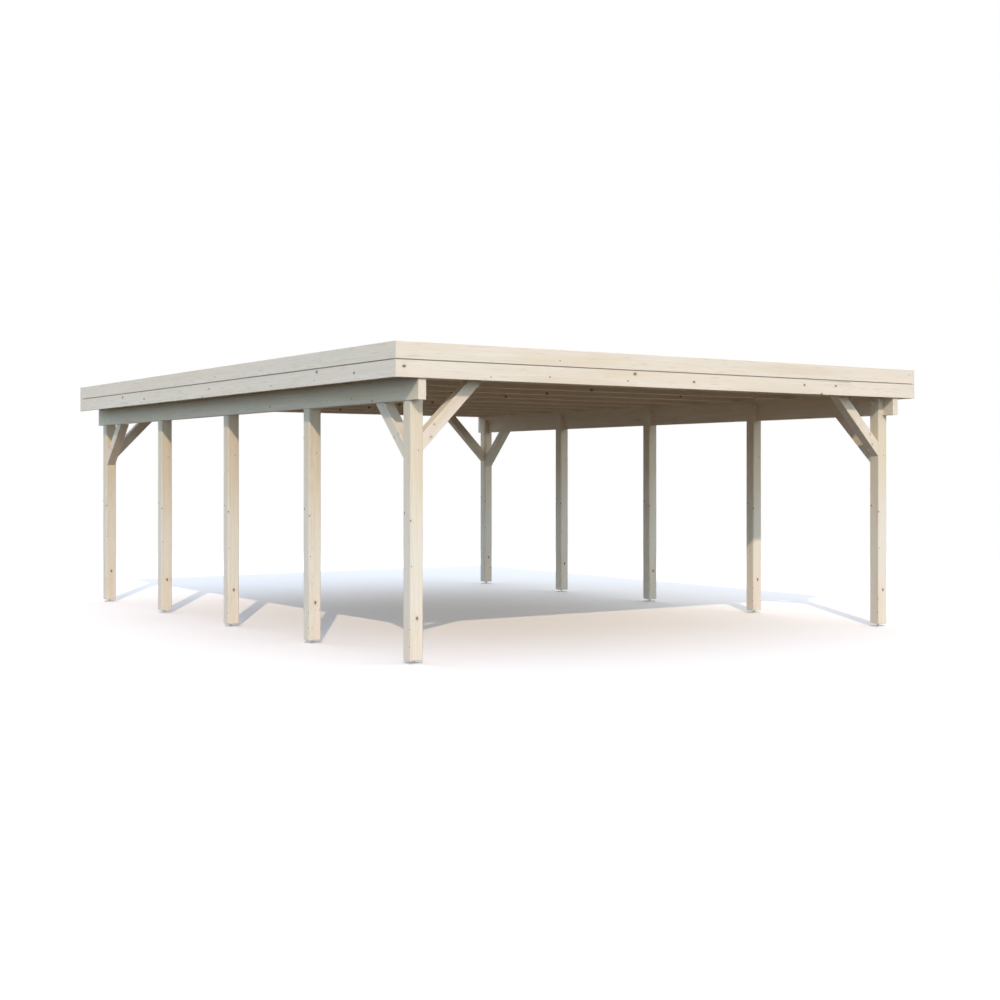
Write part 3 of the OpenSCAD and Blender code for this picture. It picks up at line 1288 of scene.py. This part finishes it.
@dataclass
class RafterField:
    """All the rafters: the evenly spaced ones and the two over the end posts.

    Attributes:
        count: How many are evenly spaced.
        common_knot: A knot that they share.
        bare: Numbers of those without it.
        knots: The other knots, each with its rafter's number.
        screw_height: Height of the screws above a rafter's underside.
        screw_spread: Distance between the two screws at a beam.
        seed: Chooses the first rafter's figure.
    """

    count: int = 11
    common_knot: Knot = Knot((3.094, 0.0, 0.014), 0.0115)
    bare: tuple[int, ...] = (6,)
    knots: tuple[tuple[int, Knot], ...] = (
        (5, Knot((2.407, 0.0, 0.040), 0.0085)),
        (4, Knot((4.901, 0.0, 0.037), 0.0085)),
    )
    screw_height: float = 0.045
    screw_spread: float = 0.040
    seed: int = 300

    def nodes(self) -> list[str]:
        """The nodes of all the rafters."""
        field = [f"rafter_{i + 1}" for i in range(self.count)]
        return field + [f"brace_rafter_{end.word}" for end in End]

    def dress(self) -> None:
        """Gives each rafter its finish."""
        for i, node in enumerate(self.nodes()):
            knots = [knot for number, knot in self.knots if number == i + 1]
            if i < self.count and i + 1 not in self.bare:
                knots.append(self.common_knot)
            FRAME_TIMBER.dress(node, Grain.ACROSS_BAY, self.seed + i, knots)
        LOG.info("rafters: %d", len(self.nodes()))

    def drive_screws(self, row: FixingRow) -> None:
        """Drives the skew screws that hold the rafters on the beams.

        Args:
            row: The row that collects them.
        """
        last = f"rafter_{self.count}"
        for node in self.nodes():
            low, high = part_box(node)
            face, look = (low.y, -1) if node == last else (high.y, 1)
            for side in Side:
                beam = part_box(f"beam_{side.word}")
                x = (beam[0].x + beam[1].x) / 2
                for spread in (-0.5, 0.5):
                    place = (x + spread * self.screw_spread, face, low.z + self.screw_height)
                    row.drive(place, (0, look, 0))


# --- Roof ---------------------------------------------------------------------------------


def board_tree() -> bpy.types.NodeTree:
    """Builds the tree that lays the roof boards, two lengths to a row with staggered joints.

    Returns:
        The tree.
    """
    inputs = {"Geometry": "Geometry", "Board": "Object", "Rows": "Int", "Seed": "Int"}
    inputs |= {size: "Float" for size in ("Left", "Pitch", "Front", "Back", "Level", "Joint", "Gap")}
    inputs |= {"Material": "Material"}
    bench, source, sink = open_group("roof_boards", "Geometry", inputs, {"Geometry": "Geometry"})
    size = source.outputs
    index = bench.add("GeometryNodeInputIndex").outputs[0]
    # 0 for the board at the front of a row and 1 for the one behind it
    behind = bench.calc("MODULO", index, 2.0)
    row = bench.calc("FLOOR", bench.calc("DIVIDE", index, 2.0))
    parity = bench.calc("MODULO", row, 2.0)
    joint = bench.times(size["Joint"], bench.calc("MULTIPLY_ADD", parity, 2.0, -1.0))
    near = bench.calc("MULTIPLY_ADD", size["Gap"], -0.5, joint)
    far = bench.calc("MULTIPLY_ADD", size["Gap"], 0.5, joint)
    start = bench.calc("MULTIPLY_ADD", behind, bench.calc("SUBTRACT", far, size["Front"]), size["Front"])
    stop = bench.calc("MULTIPLY_ADD", behind, bench.calc("SUBTRACT", size["Back"], near), near)
    x = bench.calc("MULTIPLY_ADD", bench.calc("ADD", row, 0.5), size["Pitch"], size["Left"])
    points = bench.add("GeometryNodePoints", {"Count": bench.times(size["Rows"], 2.0)})
    middle = bench.merge(x, bench.calc("DIVIDE", bench.calc("ADD", start, stop), 2.0), size["Level"])
    points = bench.add("GeometryNodeSetPosition", {0: points.outputs[0], 2: middle})
    board = bench.add("GeometryNodeObjectInfo", {"Object": size["Board"]})
    scale = bench.merge(1.0, bench.calc("SUBTRACT", stop, start), 1.0)
    feeds = {0: points.outputs[0], 2: board.outputs["Geometry"], "Scale": scale}
    boards = bench.add("GeometryNodeInstanceOnPoints", feeds)
    draw = bench.add("FunctionNodeRandomValue", {"Seed": size["Seed"]}, data_type="FLOAT_VECTOR")
    draw.inputs[0].default_value = (-9.0, -9.0, -9.0)
    draw.inputs[1].default_value = (9.0, 9.0, 9.0)
    feeds = {"Geometry": boards.outputs[0], "Name": "board_shift", "Value": draw.outputs[0]}
    settings = {"data_type": "FLOAT_VECTOR", "domain": "INSTANCE"}
    shifted = bench.add("GeometryNodeStoreNamedAttribute", feeds, **settings)
    return bench.close(sink, shifted.outputs[0], size["Material"])


@dataclass
class RoofBoards:
    """Tongued boards over the rafters, with a V joint on their lower face.

    Attributes:
        cover: Width that a board covers, before the rows are evened out.
        bevel: Size of the bevel beside a joint.
        tongue: Depth and height of the tongue.
        slack: Gap between two boards.
        joint_rafters: How many rafter bays the end joints lie off the middle.
        seed: Shifts the figure from board to board.
        wood_seed: Chooses the figure that is shifted.
    """

    cover: float = 0.121
    bevel: float = 0.0035
    tongue: float = 0.006
    slack: float = 0.001
    joint_rafters: int = 1
    seed: int = 7
    wood_seed: int = 500

    def section(self, width: float, depth: float) -> list[tuple[float, float]]:
        """The board's outline across its length.

        Args:
            width: Width of its body.
            depth: Its thickness.

        Returns:
            Points as X and Z, with the body's lower face at 0.
        """
        side, cut = width / 2, self.bevel
        low, high = depth * 0.55 - self.tongue / 2, depth * 0.55 + self.tongue / 2
        groove = side - self.tongue - self.slack
        return [
            (-side + cut, 0.0), (side - cut, 0.0), (side, cut),
            (side, low), (side + self.tongue, low), (side + self.tongue, high), (side, high),
            (side, depth), (-side, depth),
            (-side, high + self.slack / 2), (-groove, high + self.slack / 2),
            (-groove, low - self.slack / 2), (-side, low - self.slack / 2),
            (-side, cut),
        ]

    def build(self, tree: bpy.types.NodeTree) -> None:
        """Lays the boards in place of the plain deck.

        Args:
            tree: The tree that lays them.
        """
        low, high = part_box("roof_deck")
        width = high.x - low.x
        rows = round(width / self.cover)
        # The last tongue is sawn off on a real roof: the field stops short by its length
        pitch = (width - self.tongue) / rows
        outline = self.section(pitch - self.slack, high.z - low.z - AWAY)
        pile = MeshPile()
        pile.rings([[(x, y, z) for x, z in outline] for y in (-0.5, 0.5)])
        blank = pile.build("board_blank")
        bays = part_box("rafter_2")[0].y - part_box("rafter_1")[0].y
        finish = ROOF_TIMBER.material(
            "roof_boards", (low, high), Grain.ALONG_BAY, self.wood_seed, board_attribute="board_shift"
        )
        values = {
            "Board": blank, "Rows": rows, "Seed": self.seed, "Material": finish, "Left": low.x,
            "Pitch": pitch, "Front": low.y, "Back": high.y, "Level": low.z,
            "Joint": bays * self.joint_rafters, "Gap": self.slack,
        }
        piece = run_tree(mesh_object("boards_host", [], []), tree, "roof_boards", values)
        bpy.data.objects.remove(blank)
        hand_in(piece, Slot.ROOF, "roof_deck")


@dataclass
class RoofCovering:
    """Strips of felt, their upstand inside the fascia, and the lath that clamps it.

    Attributes:
        strips: How many strips lie side by side.
        lap: Width of a lap.
        cell: Size of a mesh cell along a strip.
        cells: How many mesh cells a strip is wide, before those at its lap.
        ripple: Height of the felt's waves.
        flange: Width of the upstand's foot on the roof.
        feather: How far the foot's edge thins out beyond that.
        upstand: Height of the upstand over the roof boards.
        cant: Size of the slanted corner at its foot.
        lath: Thickness and height of the lath.
        lath_overlap: How far the lath stands above the upstand.
        arris: Size of the lath's planed-off corners.
        nail_pitch: Distance between the lath's nails.
        lath_seed: Chooses the first lath's figure.
    """

    strips: int = 7
    lap: float = 0.08
    cell: float = 0.08
    cells: int = 8
    ripple: float = 0.0010
    flange: float = 0.10
    feather: float = 0.010
    upstand: float = 0.058
    cant: float = 0.018
    lath: tuple[float, float] = (0.014, 0.030)
    lath_overlap: float = 0.004
    arris: float = 0.002
    nail_pitch: float = 0.30
    lath_seed: int = 700

    def __post_init__(self) -> None:
        """Takes the size of the covering from the construction."""
        self.low, self.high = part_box("roof_felt")
        self.thickness = self.high.z - self.low.z

    def wave(self, x: float, y: float) -> float:
        """How far the felt lifts at a place, never below 0.

        Args:
            x: Place across the bay.
            y: Place along the bay.

        Returns:
            The lift.
        """
        return self.ripple * (0.5 + 0.5 * noise.noise(Vector((x * 3.1, y * 1.3, 0.0))))

    def strip(self, pile: MeshPile, left: float, right: float, lapped: bool) -> None:
        """Adds one strip as a closed sheet.

        Args:
            pile: The pile that collects the strips.
            left: Its left edge.
            right: Its right edge.
            lapped: True where its left edge lies on the strip before it.
        """
        columns = [left + (right - left) * i / self.cells for i in range(self.cells + 1)]
        step = self.lap * 0.25
        columns += [left + self.lap - step, left + self.lap, left + self.lap + step]
        columns.sort()
        rows = math.ceil((self.high.y - self.low.y) / self.cell)
        rings = []
        for j in range(rows + 1):
            y = self.low.y + (self.high.y - self.low.y) * j / rows
            under, over = [], []
            for x in columns:
                lift = self.thickness + AWAY if lapped and x < left + self.lap + step / 2 else 0.0
                z = self.low.z + AWAY + lift + self.wave(x, y)
                under.append((x, y, z))
                over.append((x, y, z + self.thickness))
            rings.append(under + over[::-1])
        pile.rings(rings)

    def corner_rings(self, outline: Sequence[tuple[float, float]]) -> list[list[Point]]:
        """Sets an outline up at each corner of the roof, on the mitre.

        Args:
            outline: Points as distance in from the roof boards' edge and height.

        Returns:
            Its points at each corner, anticlockwise from the front left one.
        """
        corners = (
            (self.low.x, self.low.y, 1, 1), (self.high.x, self.low.y, -1, 1),
            (self.high.x, self.high.y, -1, -1), (self.low.x, self.high.y, 1, -1),
        )
        return [
            [(x + x_in * inset, y + y_in * inset, z) for inset, z in outline]
            for x, y, x_in, y_in in corners
        ]

    def upstand_outline(self) -> list[tuple[float, float]]:
        """The outline of the upstand, as inset and height."""
        base = self.low.z + self.thickness * 2 + self.ripple + 2 * AWAY
        top = self.low.z + self.upstand
        thick, cant = self.thickness, self.cant
        back = -thick * 0.5
        return [
            (self.flange + self.feather, self.low.z + thick * 0.6), (self.flange, base + thick * 0.5),
            (back + thick + cant, base + thick), (back + thick, base + thick + cant),
            (back + thick, top), (back, top), (back, base + cant), (back + cant, base),
        ]

    def lath_outline(self) -> list[tuple[float, float]]:
        """The outline of the lath, as inset and height."""
        depth, height = self.lath
        near = self.thickness * 0.5 + AWAY
        far = near + depth
        top = self.low.z + self.upstand + self.lath_overlap
        low = top - height
        bend = far - self.arris
        return [
            (near, low), (bend, low), (far, low + self.arris),
            (far, top - self.arris), (bend, top), (near, top),
        ]

    def build(self, finish: bpy.types.Material) -> None:
        """Lays the felt in place of the plain sheet, and the lath.

        Args:
            finish: The felt's material.
        """
        pile = MeshPile()
        pitch = (self.high.x - self.low.x - self.lap) / self.strips
        for i in range(self.strips):
            left = self.low.x + i * pitch
            self.strip(pile, left, left + pitch + self.lap, i > 0)
        felt = pile.build("felt_strips")
        put_on(felt, finish)
        hand_in(felt, Slot.FELT, "roof_felt")
        pile = MeshPile()
        pile.rings(self.corner_rings(self.upstand_outline()), closed=True)
        upstand = pile.build("felt_upstand")
        put_on(upstand, finish)
        hand_in(upstand, Slot.FELT)
        self.build_laths()

    def build_laths(self) -> None:
        """Cuts the lath into a piece for each side, each with its own grain."""
        rings = self.corner_rings(self.lath_outline())
        for i, name in enumerate(("front", "right", "back", "left")):
            pile = MeshPile()
            pile.rings([rings[i], rings[(i + 1) % 4]])
            piece = pile.build(f"felt_lath_{name}")
            grain = Grain.ACROSS_BAY if name in ("front", "back") else Grain.ALONG_BAY
            put_on(piece, FASCIA_TIMBER.material(piece.name, corners_of(piece), grain, self.lath_seed + i))
            hand_in(piece, Slot.FASCIA)

    def drive_nails(self, row: FixingRow) -> None:
        """Nails the lath all round.

        Args:
            row: The row that collects them.
        """
        outline = self.lath_outline()
        inset = outline[3][0]
        z = (outline[0][1] + outline[5][1]) / 2
        for low, high, end_low, end_high, along in (
            (self.low.x, self.high.x, self.low.y, self.high.y, 0),
            (self.low.y, self.high.y, self.low.x, self.high.x, 1),
        ):
            count = math.floor((high - low) / self.nail_pitch)
            for i in range(count):
                run = low + (high - low) * (i + 0.5) / count
                for edge, look in ((end_low + inset, 1), (end_high - inset, -1)):
                    place = (run, edge, z) if along == 0 else (edge, run, z)
                    row.drive(place, (0, look, 0) if along == 0 else (look, 0, 0))


# --- Fascia -------------------------------------------------------------------------------


@dataclass
class FasciaBoards:
    """The boards round the roof, two high with a shadow groove between them.

    Attributes:
        front_marks: Knots and tints on the lower front board.
        front_upper_marks: Knots and tints on the upper front board.
        left_marks: Knots and tints on the lower left board.
        screw_heights: Heights of the screws above the rafters' underside.
        end_pitch: Distance between screws along the front and the back.
        seed: Chooses the first board's figure.
    """

    front_marks: tuple[Knot | Tint, ...] = (
        Knot((0.077, 0.0, 0.088), 0.0115),
        Knot((0.904, 0.0, 0.031), 0.0050),
        Knot((1.502, 0.0, 0.053), 0.0055),
        Knot((2.344, 0.0, 0.049), 0.0060),
        Knot((2.423, 0.0, 0.113), 0.0125),
        Knot((3.107, 0.0, 0.066), 0.0100),
        Knot((4.500, 0.0, 0.086), 0.0090),
        Knot((4.730, 0.0, 0.005), 0.0100),
        Knot((4.923, 0.0, 0.090), 0.0095),
        Tint((1.750, 0.0, 0.020), (0.75, 0.2, 0.060), (0.700, 0.575, 0.440), 0.50),
        Tint((2.250, 0.0, 0.110), (0.55, 0.2, 0.055), (0.720, 0.620, 0.450), 0.45),
        Tint((4.200, 0.0, 0.020), (0.80, 0.2, 0.060), (0.735, 0.600, 0.470), 0.45),
        Tint((0.500, 0.0, 0.090), (0.50, 0.2, 0.070), (0.845, 0.805, 0.710), 0.40),
    )
    front_upper_marks: tuple[Knot | Tint, ...] = (
        Knot((1.607, 0.0, 0.050), 0.0045),
        Tint((1.650, 0.0, 0.030), (0.80, 0.2, 0.070), (0.735, 0.610, 0.465), 0.45),
        Tint((2.050, 0.0, 0.085), (0.45, 0.2, 0.050), (0.750, 0.640, 0.440), 0.40),
        Tint((4.350, 0.0, 0.075), (0.85, 0.2, 0.060), (0.735, 0.585, 0.430), 0.50),
        Tint((0.850, 0.0, 0.085), (0.45, 0.2, 0.050), (0.845, 0.800, 0.730), 0.45),
        Tint((2.750, 0.0, 0.100), (0.40, 0.2, 0.050), (0.840, 0.795, 0.715), 0.45),
    )
    left_marks: tuple[Knot | Tint, ...] = (
        Knot((0.0, 0.669, 0.069), 0.0105),
        Knot((0.0, 1.348, 0.116), 0.0125),
        Knot((0.0, 1.400, 0.045), 0.0045),
        Knot((0.0, 2.268, 0.041), 0.0050),
        Knot((0.0, 3.705, 0.082), 0.0090),
        Knot((0.0, 3.883, 0.012), 0.0085),
        Knot((0.0, 5.507, 0.059), 0.0110),
        Knot((0.0, 6.185, 0.104), 0.0120),
    )
    screw_heights: tuple[float, ...] = (0.028, 0.070, 0.118)
    end_pitch: float = 0.60
    seed: int = 800

    def dress(self) -> None:
        """Gives each board its finish."""
        chosen = {
            "fascia_front_lower": self.front_marks,
            "fascia_front_upper": self.front_upper_marks,
            "fascia_left_lower": self.left_marks,
        }
        boards = [node for node in sorted(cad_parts) if node.startswith("fascia_")]
        for i, node in enumerate(boards):
            grain = Grain.ALONG_BAY if "left" in node or "right" in node else Grain.ACROSS_BAY
            FASCIA_TIMBER.dress(node, grain, self.seed + i, chosen.get(node, ()))
        LOG.info("fascia boards: %d", len(boards))

    def drive_screws(self, row: FixingRow, rafters: RafterField) -> None:
        """Screws the side boards to the rafters' ends, and the end boards to the end rafters.

        Args:
            row: The row that collects them.
            rafters: The rafters behind the boards.
        """
        low, high = cad_box
        for node in rafters.nodes():
            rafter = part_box(node)
            y = (rafter[0].y + rafter[1].y) / 2
            for side in Side:
                x = high.x if side is Side.RIGHT else low.x
                for height in self.screw_heights:
                    row.drive((x, y, rafter[0].z + height), (side.value, 0, 0))
        count = round((high.x - low.x) / self.end_pitch)
        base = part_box("rafter_1")[0].z
        for end in End:
            y = low.y if end is End.FRONT else high.y
            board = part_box(f"fascia_{end.word}_upper")[0].z if end is End.BACK else base
            for i in range(count):
                x = low.x + (high.x - low.x) * (i + 0.5) / count
                for height in self.screw_heights:
                    if base + height > board:
                        row.drive((x, y, base + height), (0, end.value, 0))


@dataclass
class GrooveStops:
    """The two pieces of wood that close the fascia's groove before a corner.

    Attributes:
        depth: How deep they stand in the groove.
        play: Gap above and below them.
        front_length: Length of the one at the front's right end.
        left_length: Length of the one at the left side's back end.
        arris: Size of their planed-off corners.
        seed: Chooses their figures.
    """

    depth: float = 0.0078
    play: float = 0.0007
    front_length: float = 0.030
    left_length: float = 0.095
    arris: float = 0.0008
    seed: int = 760

    def outline(self, start: float, shrink: float) -> list[tuple[float, float]]:
        """The section of a stop, as place across the board and height.

        Args:
            start: Place of the board's outer face, which grows inwards.
            shrink: How much smaller the section is than the groove.

        Returns:
            The corners.
        """
        low, high = GROOVE[0] + self.play + shrink, GROOVE[1] - self.play - shrink
        near, far = start + shrink, start + self.depth
        return [
            (near, low + self.arris), (near + self.arris, low), (far, low),
            (far, high), (near + self.arris, high), (near, high - self.arris),
        ]

    def build(self) -> None:
        """Cuts both."""
        low, high = cad_box
        for name, grain, length, end, start in (
            ("front", Grain.ACROSS_BAY, self.front_length, high.x, low.y),
            ("left", Grain.ALONG_BAY, self.left_length, high.y, low.x),
        ):
            inner = end - length
            runs = (inner, inner + self.arris, end - self.arris, end - AWAY)
            rings = []
            for run, shrink in zip(runs, (3 * AWAY, AWAY, AWAY, 3 * AWAY)):
                section = self.outline(start, shrink)
                rings.append([(run, a, z) if name == "front" else (a, run, z) for a, z in section])
            pile = MeshPile()
            pile.rings(rings)
            piece = pile.build(f"groove_stop_{name}")
            seed = self.seed + len(name)
            put_on(piece, FRAME_TIMBER.material(piece.name, corners_of(piece), grain, seed))
            hand_in(piece, Slot.FASCIA)


# --- Studio -------------------------------------------------------------------------------


@dataclass
class Studio:
    """The camera, the light and the floor.

    Attributes:
        eye: Where the camera stands.
        heading: Its turn about Z from looking along +Y, in degrees.
        lens: Its focal length in millimetres.
        shift: Its shift across and up.
        sun_from: The direction towards the sun.
        sun_colour: Colour of the sunlight.
        sun_strength: Strength of the sunlight.
        sun_spread: How wide the sun looks, in degrees.
        horizons: Light of the low sky, on the dull side at -X and elsewhere.
        zeniths: Light of the high sky, on the dull side and elsewhere.
        back_glow: Light that the sky behind the object adds.
        floor_radius: Radius of the floor.
        floor_sides: Corners round its edge.
        floor_fade: Distances from the middle between which the floor turns white to the eye.
        paving: The two colours that the floor shows.
        yard: The dark part of the floor, as its middle and half its size.
        yard_bounce: Colour of the light that the yard sends up.
        field_bounce: Colour of the light that the rest of the floor sends up.
    """

    eye: Point = (-8.933, -14.129, 1.529)
    heading: float = -33.727
    lens: float = 53.957
    shift: tuple[float, float] = (0.0032, -0.0246)
    sun_from: Point = (-0.598, -1.0, 0.76)
    sun_colour: Colour = (1.0, 0.84, 0.68)
    sun_strength: float = 2.04
    sun_spread: float = 0.8
    horizons: tuple[Colour, Colour] = ((0.82, 1.11, 1.26), (1.58, 1.76, 1.86))
    zeniths: tuple[Colour, Colour] = ((0.33, 0.55, 1.05), (0.90, 1.05, 1.30))
    back_glow: Colour = (0.56, 0.57, 0.62)
    floor_radius: float = 60.0
    floor_sides: int = 64
    floor_fade: tuple[float, float] = (8.0, 16.0)
    paving: tuple[Colour, Colour] = ((0.92, 0.84, 0.76), (0.95, 0.87, 0.79))
    yard: tuple[Point, Point] = ((0.0, 0.65, 0.0), (3.55, 5.35, 1.0))
    yard_bounce: Colour = (0.21, 0.150, 0.096)
    field_bounce: Colour = (0.03, 0.028, 0.020)

    def set_camera(self) -> None:
        """Stands the camera at eye height in front of the left corner."""
        data = bpy.data.cameras.new("camera")
        data.lens = self.lens
        data.sensor_width = 36.0
        data.shift_x, data.shift_y = self.shift
        data.clip_end = 200.0
        camera = bpy.data.objects.new("camera", data)
        camera.location = self.eye
        camera.rotation_euler = (math.radians(90), 0.0, math.radians(self.heading))
        bpy.context.scene.collection.objects.link(camera)
        bpy.context.scene.camera = camera

    def hang_sun(self) -> None:
        """Hangs the sun in front, to the left."""
        data = bpy.data.lights.new("sun", "SUN")
        data.energy = self.sun_strength
        data.color = self.sun_colour
        data.angle = math.radians(self.sun_spread)
        sun = bpy.data.objects.new("sun", data)
        sun.rotation_euler = Vector(self.sun_from).to_track_quat("Z", "Y").to_euler()
        bpy.context.scene.collection.objects.link(sun)

    @staticmethod
    def seen_directly(bench: NodeBench) -> bpy.types.NodeSocket:
        """A mask for what the eye, a gloss or a glass sees.

        Args:
            bench: The bench of a material or of the world.

        Returns:
            1 for such a ray, and 0 for light that falls on the object.
        """
        rays = bench.add("ShaderNodeLightPath").outputs
        seen = bench.calc("MAXIMUM", rays["Is Camera Ray"], rays["Is Glossy Ray"])
        return bench.calc("MAXIMUM", seen, rays["Is Transmission Ray"])

    def paint_sky(self) -> None:
        """Lights the object from a soft sky, and shows a white one."""
        world = bpy.data.worlds.new("sky")
        world.use_nodes = True
        bench = NodeBench(world.node_tree)
        world.node_tree.nodes.clear()
        across, along, height = bench.split(bench.add("ShaderNodeTexCoord").outputs["Generated"])
        side = bench.ramp(across, -0.95, 0.05)
        low = bench.mix(side, *self.horizons)
        high = bench.mix(side, *self.zeniths)
        colour = bench.mix(bench.ramp(height, 0.25, 0.60), low, high)
        behind = bench.times(bench.ramp(along, 0.15, 0.75), bench.ramp(height, 0.05, 0.30))
        colour = bench.vector("MULTIPLY_ADD", self.back_glow, bench.merge(behind, behind, behind), colour)
        light = bench.add("ShaderNodeBackground", {"Color": colour})
        white = bench.add("ShaderNodeBackground", {"Color": (1.0, 1.0, 1.0)})
        feeds = {0: self.seen_directly(bench), 1: light.outputs[0], 2: white.outputs[0]}
        shown = bench.add("ShaderNodeMixShader", feeds)
        bench.add("ShaderNodeOutputWorld", {"Surface": shown.outputs[0]})
        bpy.context.scene.world = world

    def floor_bounce(self, bench: NodeBench, place: bpy.types.NodeSocket) -> bpy.types.NodeSocket:
        """The colour of the light that the floor sends up.

        Args:
            bench: The bench of the floor's material.
            place: The place on the floor.

        Returns:
            The yard's colour inside it, and the field's colour outside.
        """
        middle, half_size = self.yard
        reach = bench.vector("DIVIDE", bench.vector("SUBTRACT", place, middle), half_size)
        x, y, _ = bench.split(bench.vector("ABSOLUTE", reach))
        outside = bench.ramp(bench.calc("MAXIMUM", x, y), 0.98, 1.02)
        return bench.mix(outside, self.yard_bounce, self.field_bounce)

    def lay_floor(self) -> None:
        """Lays a round floor, pale to the eye and darker in the light that it sends up."""
        radius = self.floor_radius
        turns = [math.tau * i / self.floor_sides for i in range(self.floor_sides)]
        rim = [(radius * math.cos(turn), radius * math.sin(turn), 0.0) for turn in turns]
        floor = mesh_object("floor", rim, [range(len(rim))])
        material, bench, shader, place = new_material("floor")
        material.node_tree.nodes.remove(shader)
        output = material.node_tree.nodes["Material Output"]
        cloud = bench.grit(place, (0.35, 0.35, 0.35), 2.0)
        pale = bench.mix(cloud, *self.paving)
        seen = bench.add("ShaderNodeBsdfDiffuse", {"Color": pale})
        white = bench.add("ShaderNodeEmission", {"Color": (1.0, 1.0, 1.0)})
        distance = bench.vector("LENGTH", bench.vector("MULTIPLY", place, (1.0, 1.0, 0.0)))
        far = bench.ramp(distance, *self.floor_fade)
        seen = bench.add("ShaderNodeMixShader", {0: far, 1: seen.outputs[0], 2: white.outputs[0]})
        bounce = bench.add("ShaderNodeBsdfDiffuse", {"Color": self.floor_bounce(bench, place)})
        feeds = {0: self.seen_directly(bench), 1: bounce.outputs[0], 2: seen.outputs[0]}
        surface = bench.add("ShaderNodeMixShader", feeds)
        # From below the floor lets the eye through, so that the underside can be looked at
        rays = bench.add("ShaderNodeLightPath").outputs
        below = bench.add("ShaderNodeNewGeometry").outputs["Backfacing"]
        clear = bench.add("ShaderNodeBsdfTransparent")
        through = bench.times(rays["Is Camera Ray"], below)
        shown = bench.add("ShaderNodeMixShader", {0: through, 1: surface.outputs[0], 2: clear.outputs[0]})
        bench.feed(output.inputs["Surface"], shown.outputs[0])
        put_on(floor, material)

    def build(self) -> None:
        """Sets up the whole studio."""
        bpy.context.scene.view_settings.view_transform = "Standard"
        self.set_camera()
        self.hang_sun()
        self.paint_sky()
        self.lay_floor()
        LOG.info("studio")


def main() -> None:
    """Builds the studio and every sub-assembly."""
    Studio().build()
    fixings, feet, boards = fixing_tree(), foot_tree(), board_tree()
    steel = SteelFinish().material("galvanised_steel")
    zinc = ZINC.material("zinc_fixings")
    tongue_screws = FixingRow("tongue_screws", FLANGE_SCREW, 1)
    brace_screws = FixingRow("brace_screws", FLANGE_SCREW, 2)
    rafter_screws = FixingRow("rafter_screws", SCREW, 3)
    fascia_screws = FixingRow("fascia_screws", SCREW, 4)
    lath_nails = FixingRow("lath_nails", CLOUT_NAIL, 5)
    for side in Side:
        posts = PostRow(side)
        posts.dress()
        posts.drive_screws(tongue_screws)
        PostFeet(posts).build(feet, steel)
        SideBeam(side).dress()
        for end in End:
            braces = CornerBraces(end, side)
            braces.dress()
            braces.drive_screws(brace_screws)
    rafters = RafterField()
    rafters.dress()
    rafters.drive_screws(rafter_screws)
    RoofBoards().build(boards)
    covering = RoofCovering()
    covering.build(FeltFinish().material("mineral_felt"))
    covering.drive_nails(lath_nails)
    fascia = FasciaBoards()
    fascia.dress()
    fascia.drive_screws(fascia_screws, rafters)
    GrooveStops().build()
    for row in (tongue_screws, brace_screws, rafter_screws, fascia_screws, lath_nails):
        row.build(fixings, zinc)


if __name__ == "__main__":
    logging.basicConfig(level=logging.INFO, format="%(name)s: %(message)s")
    main()
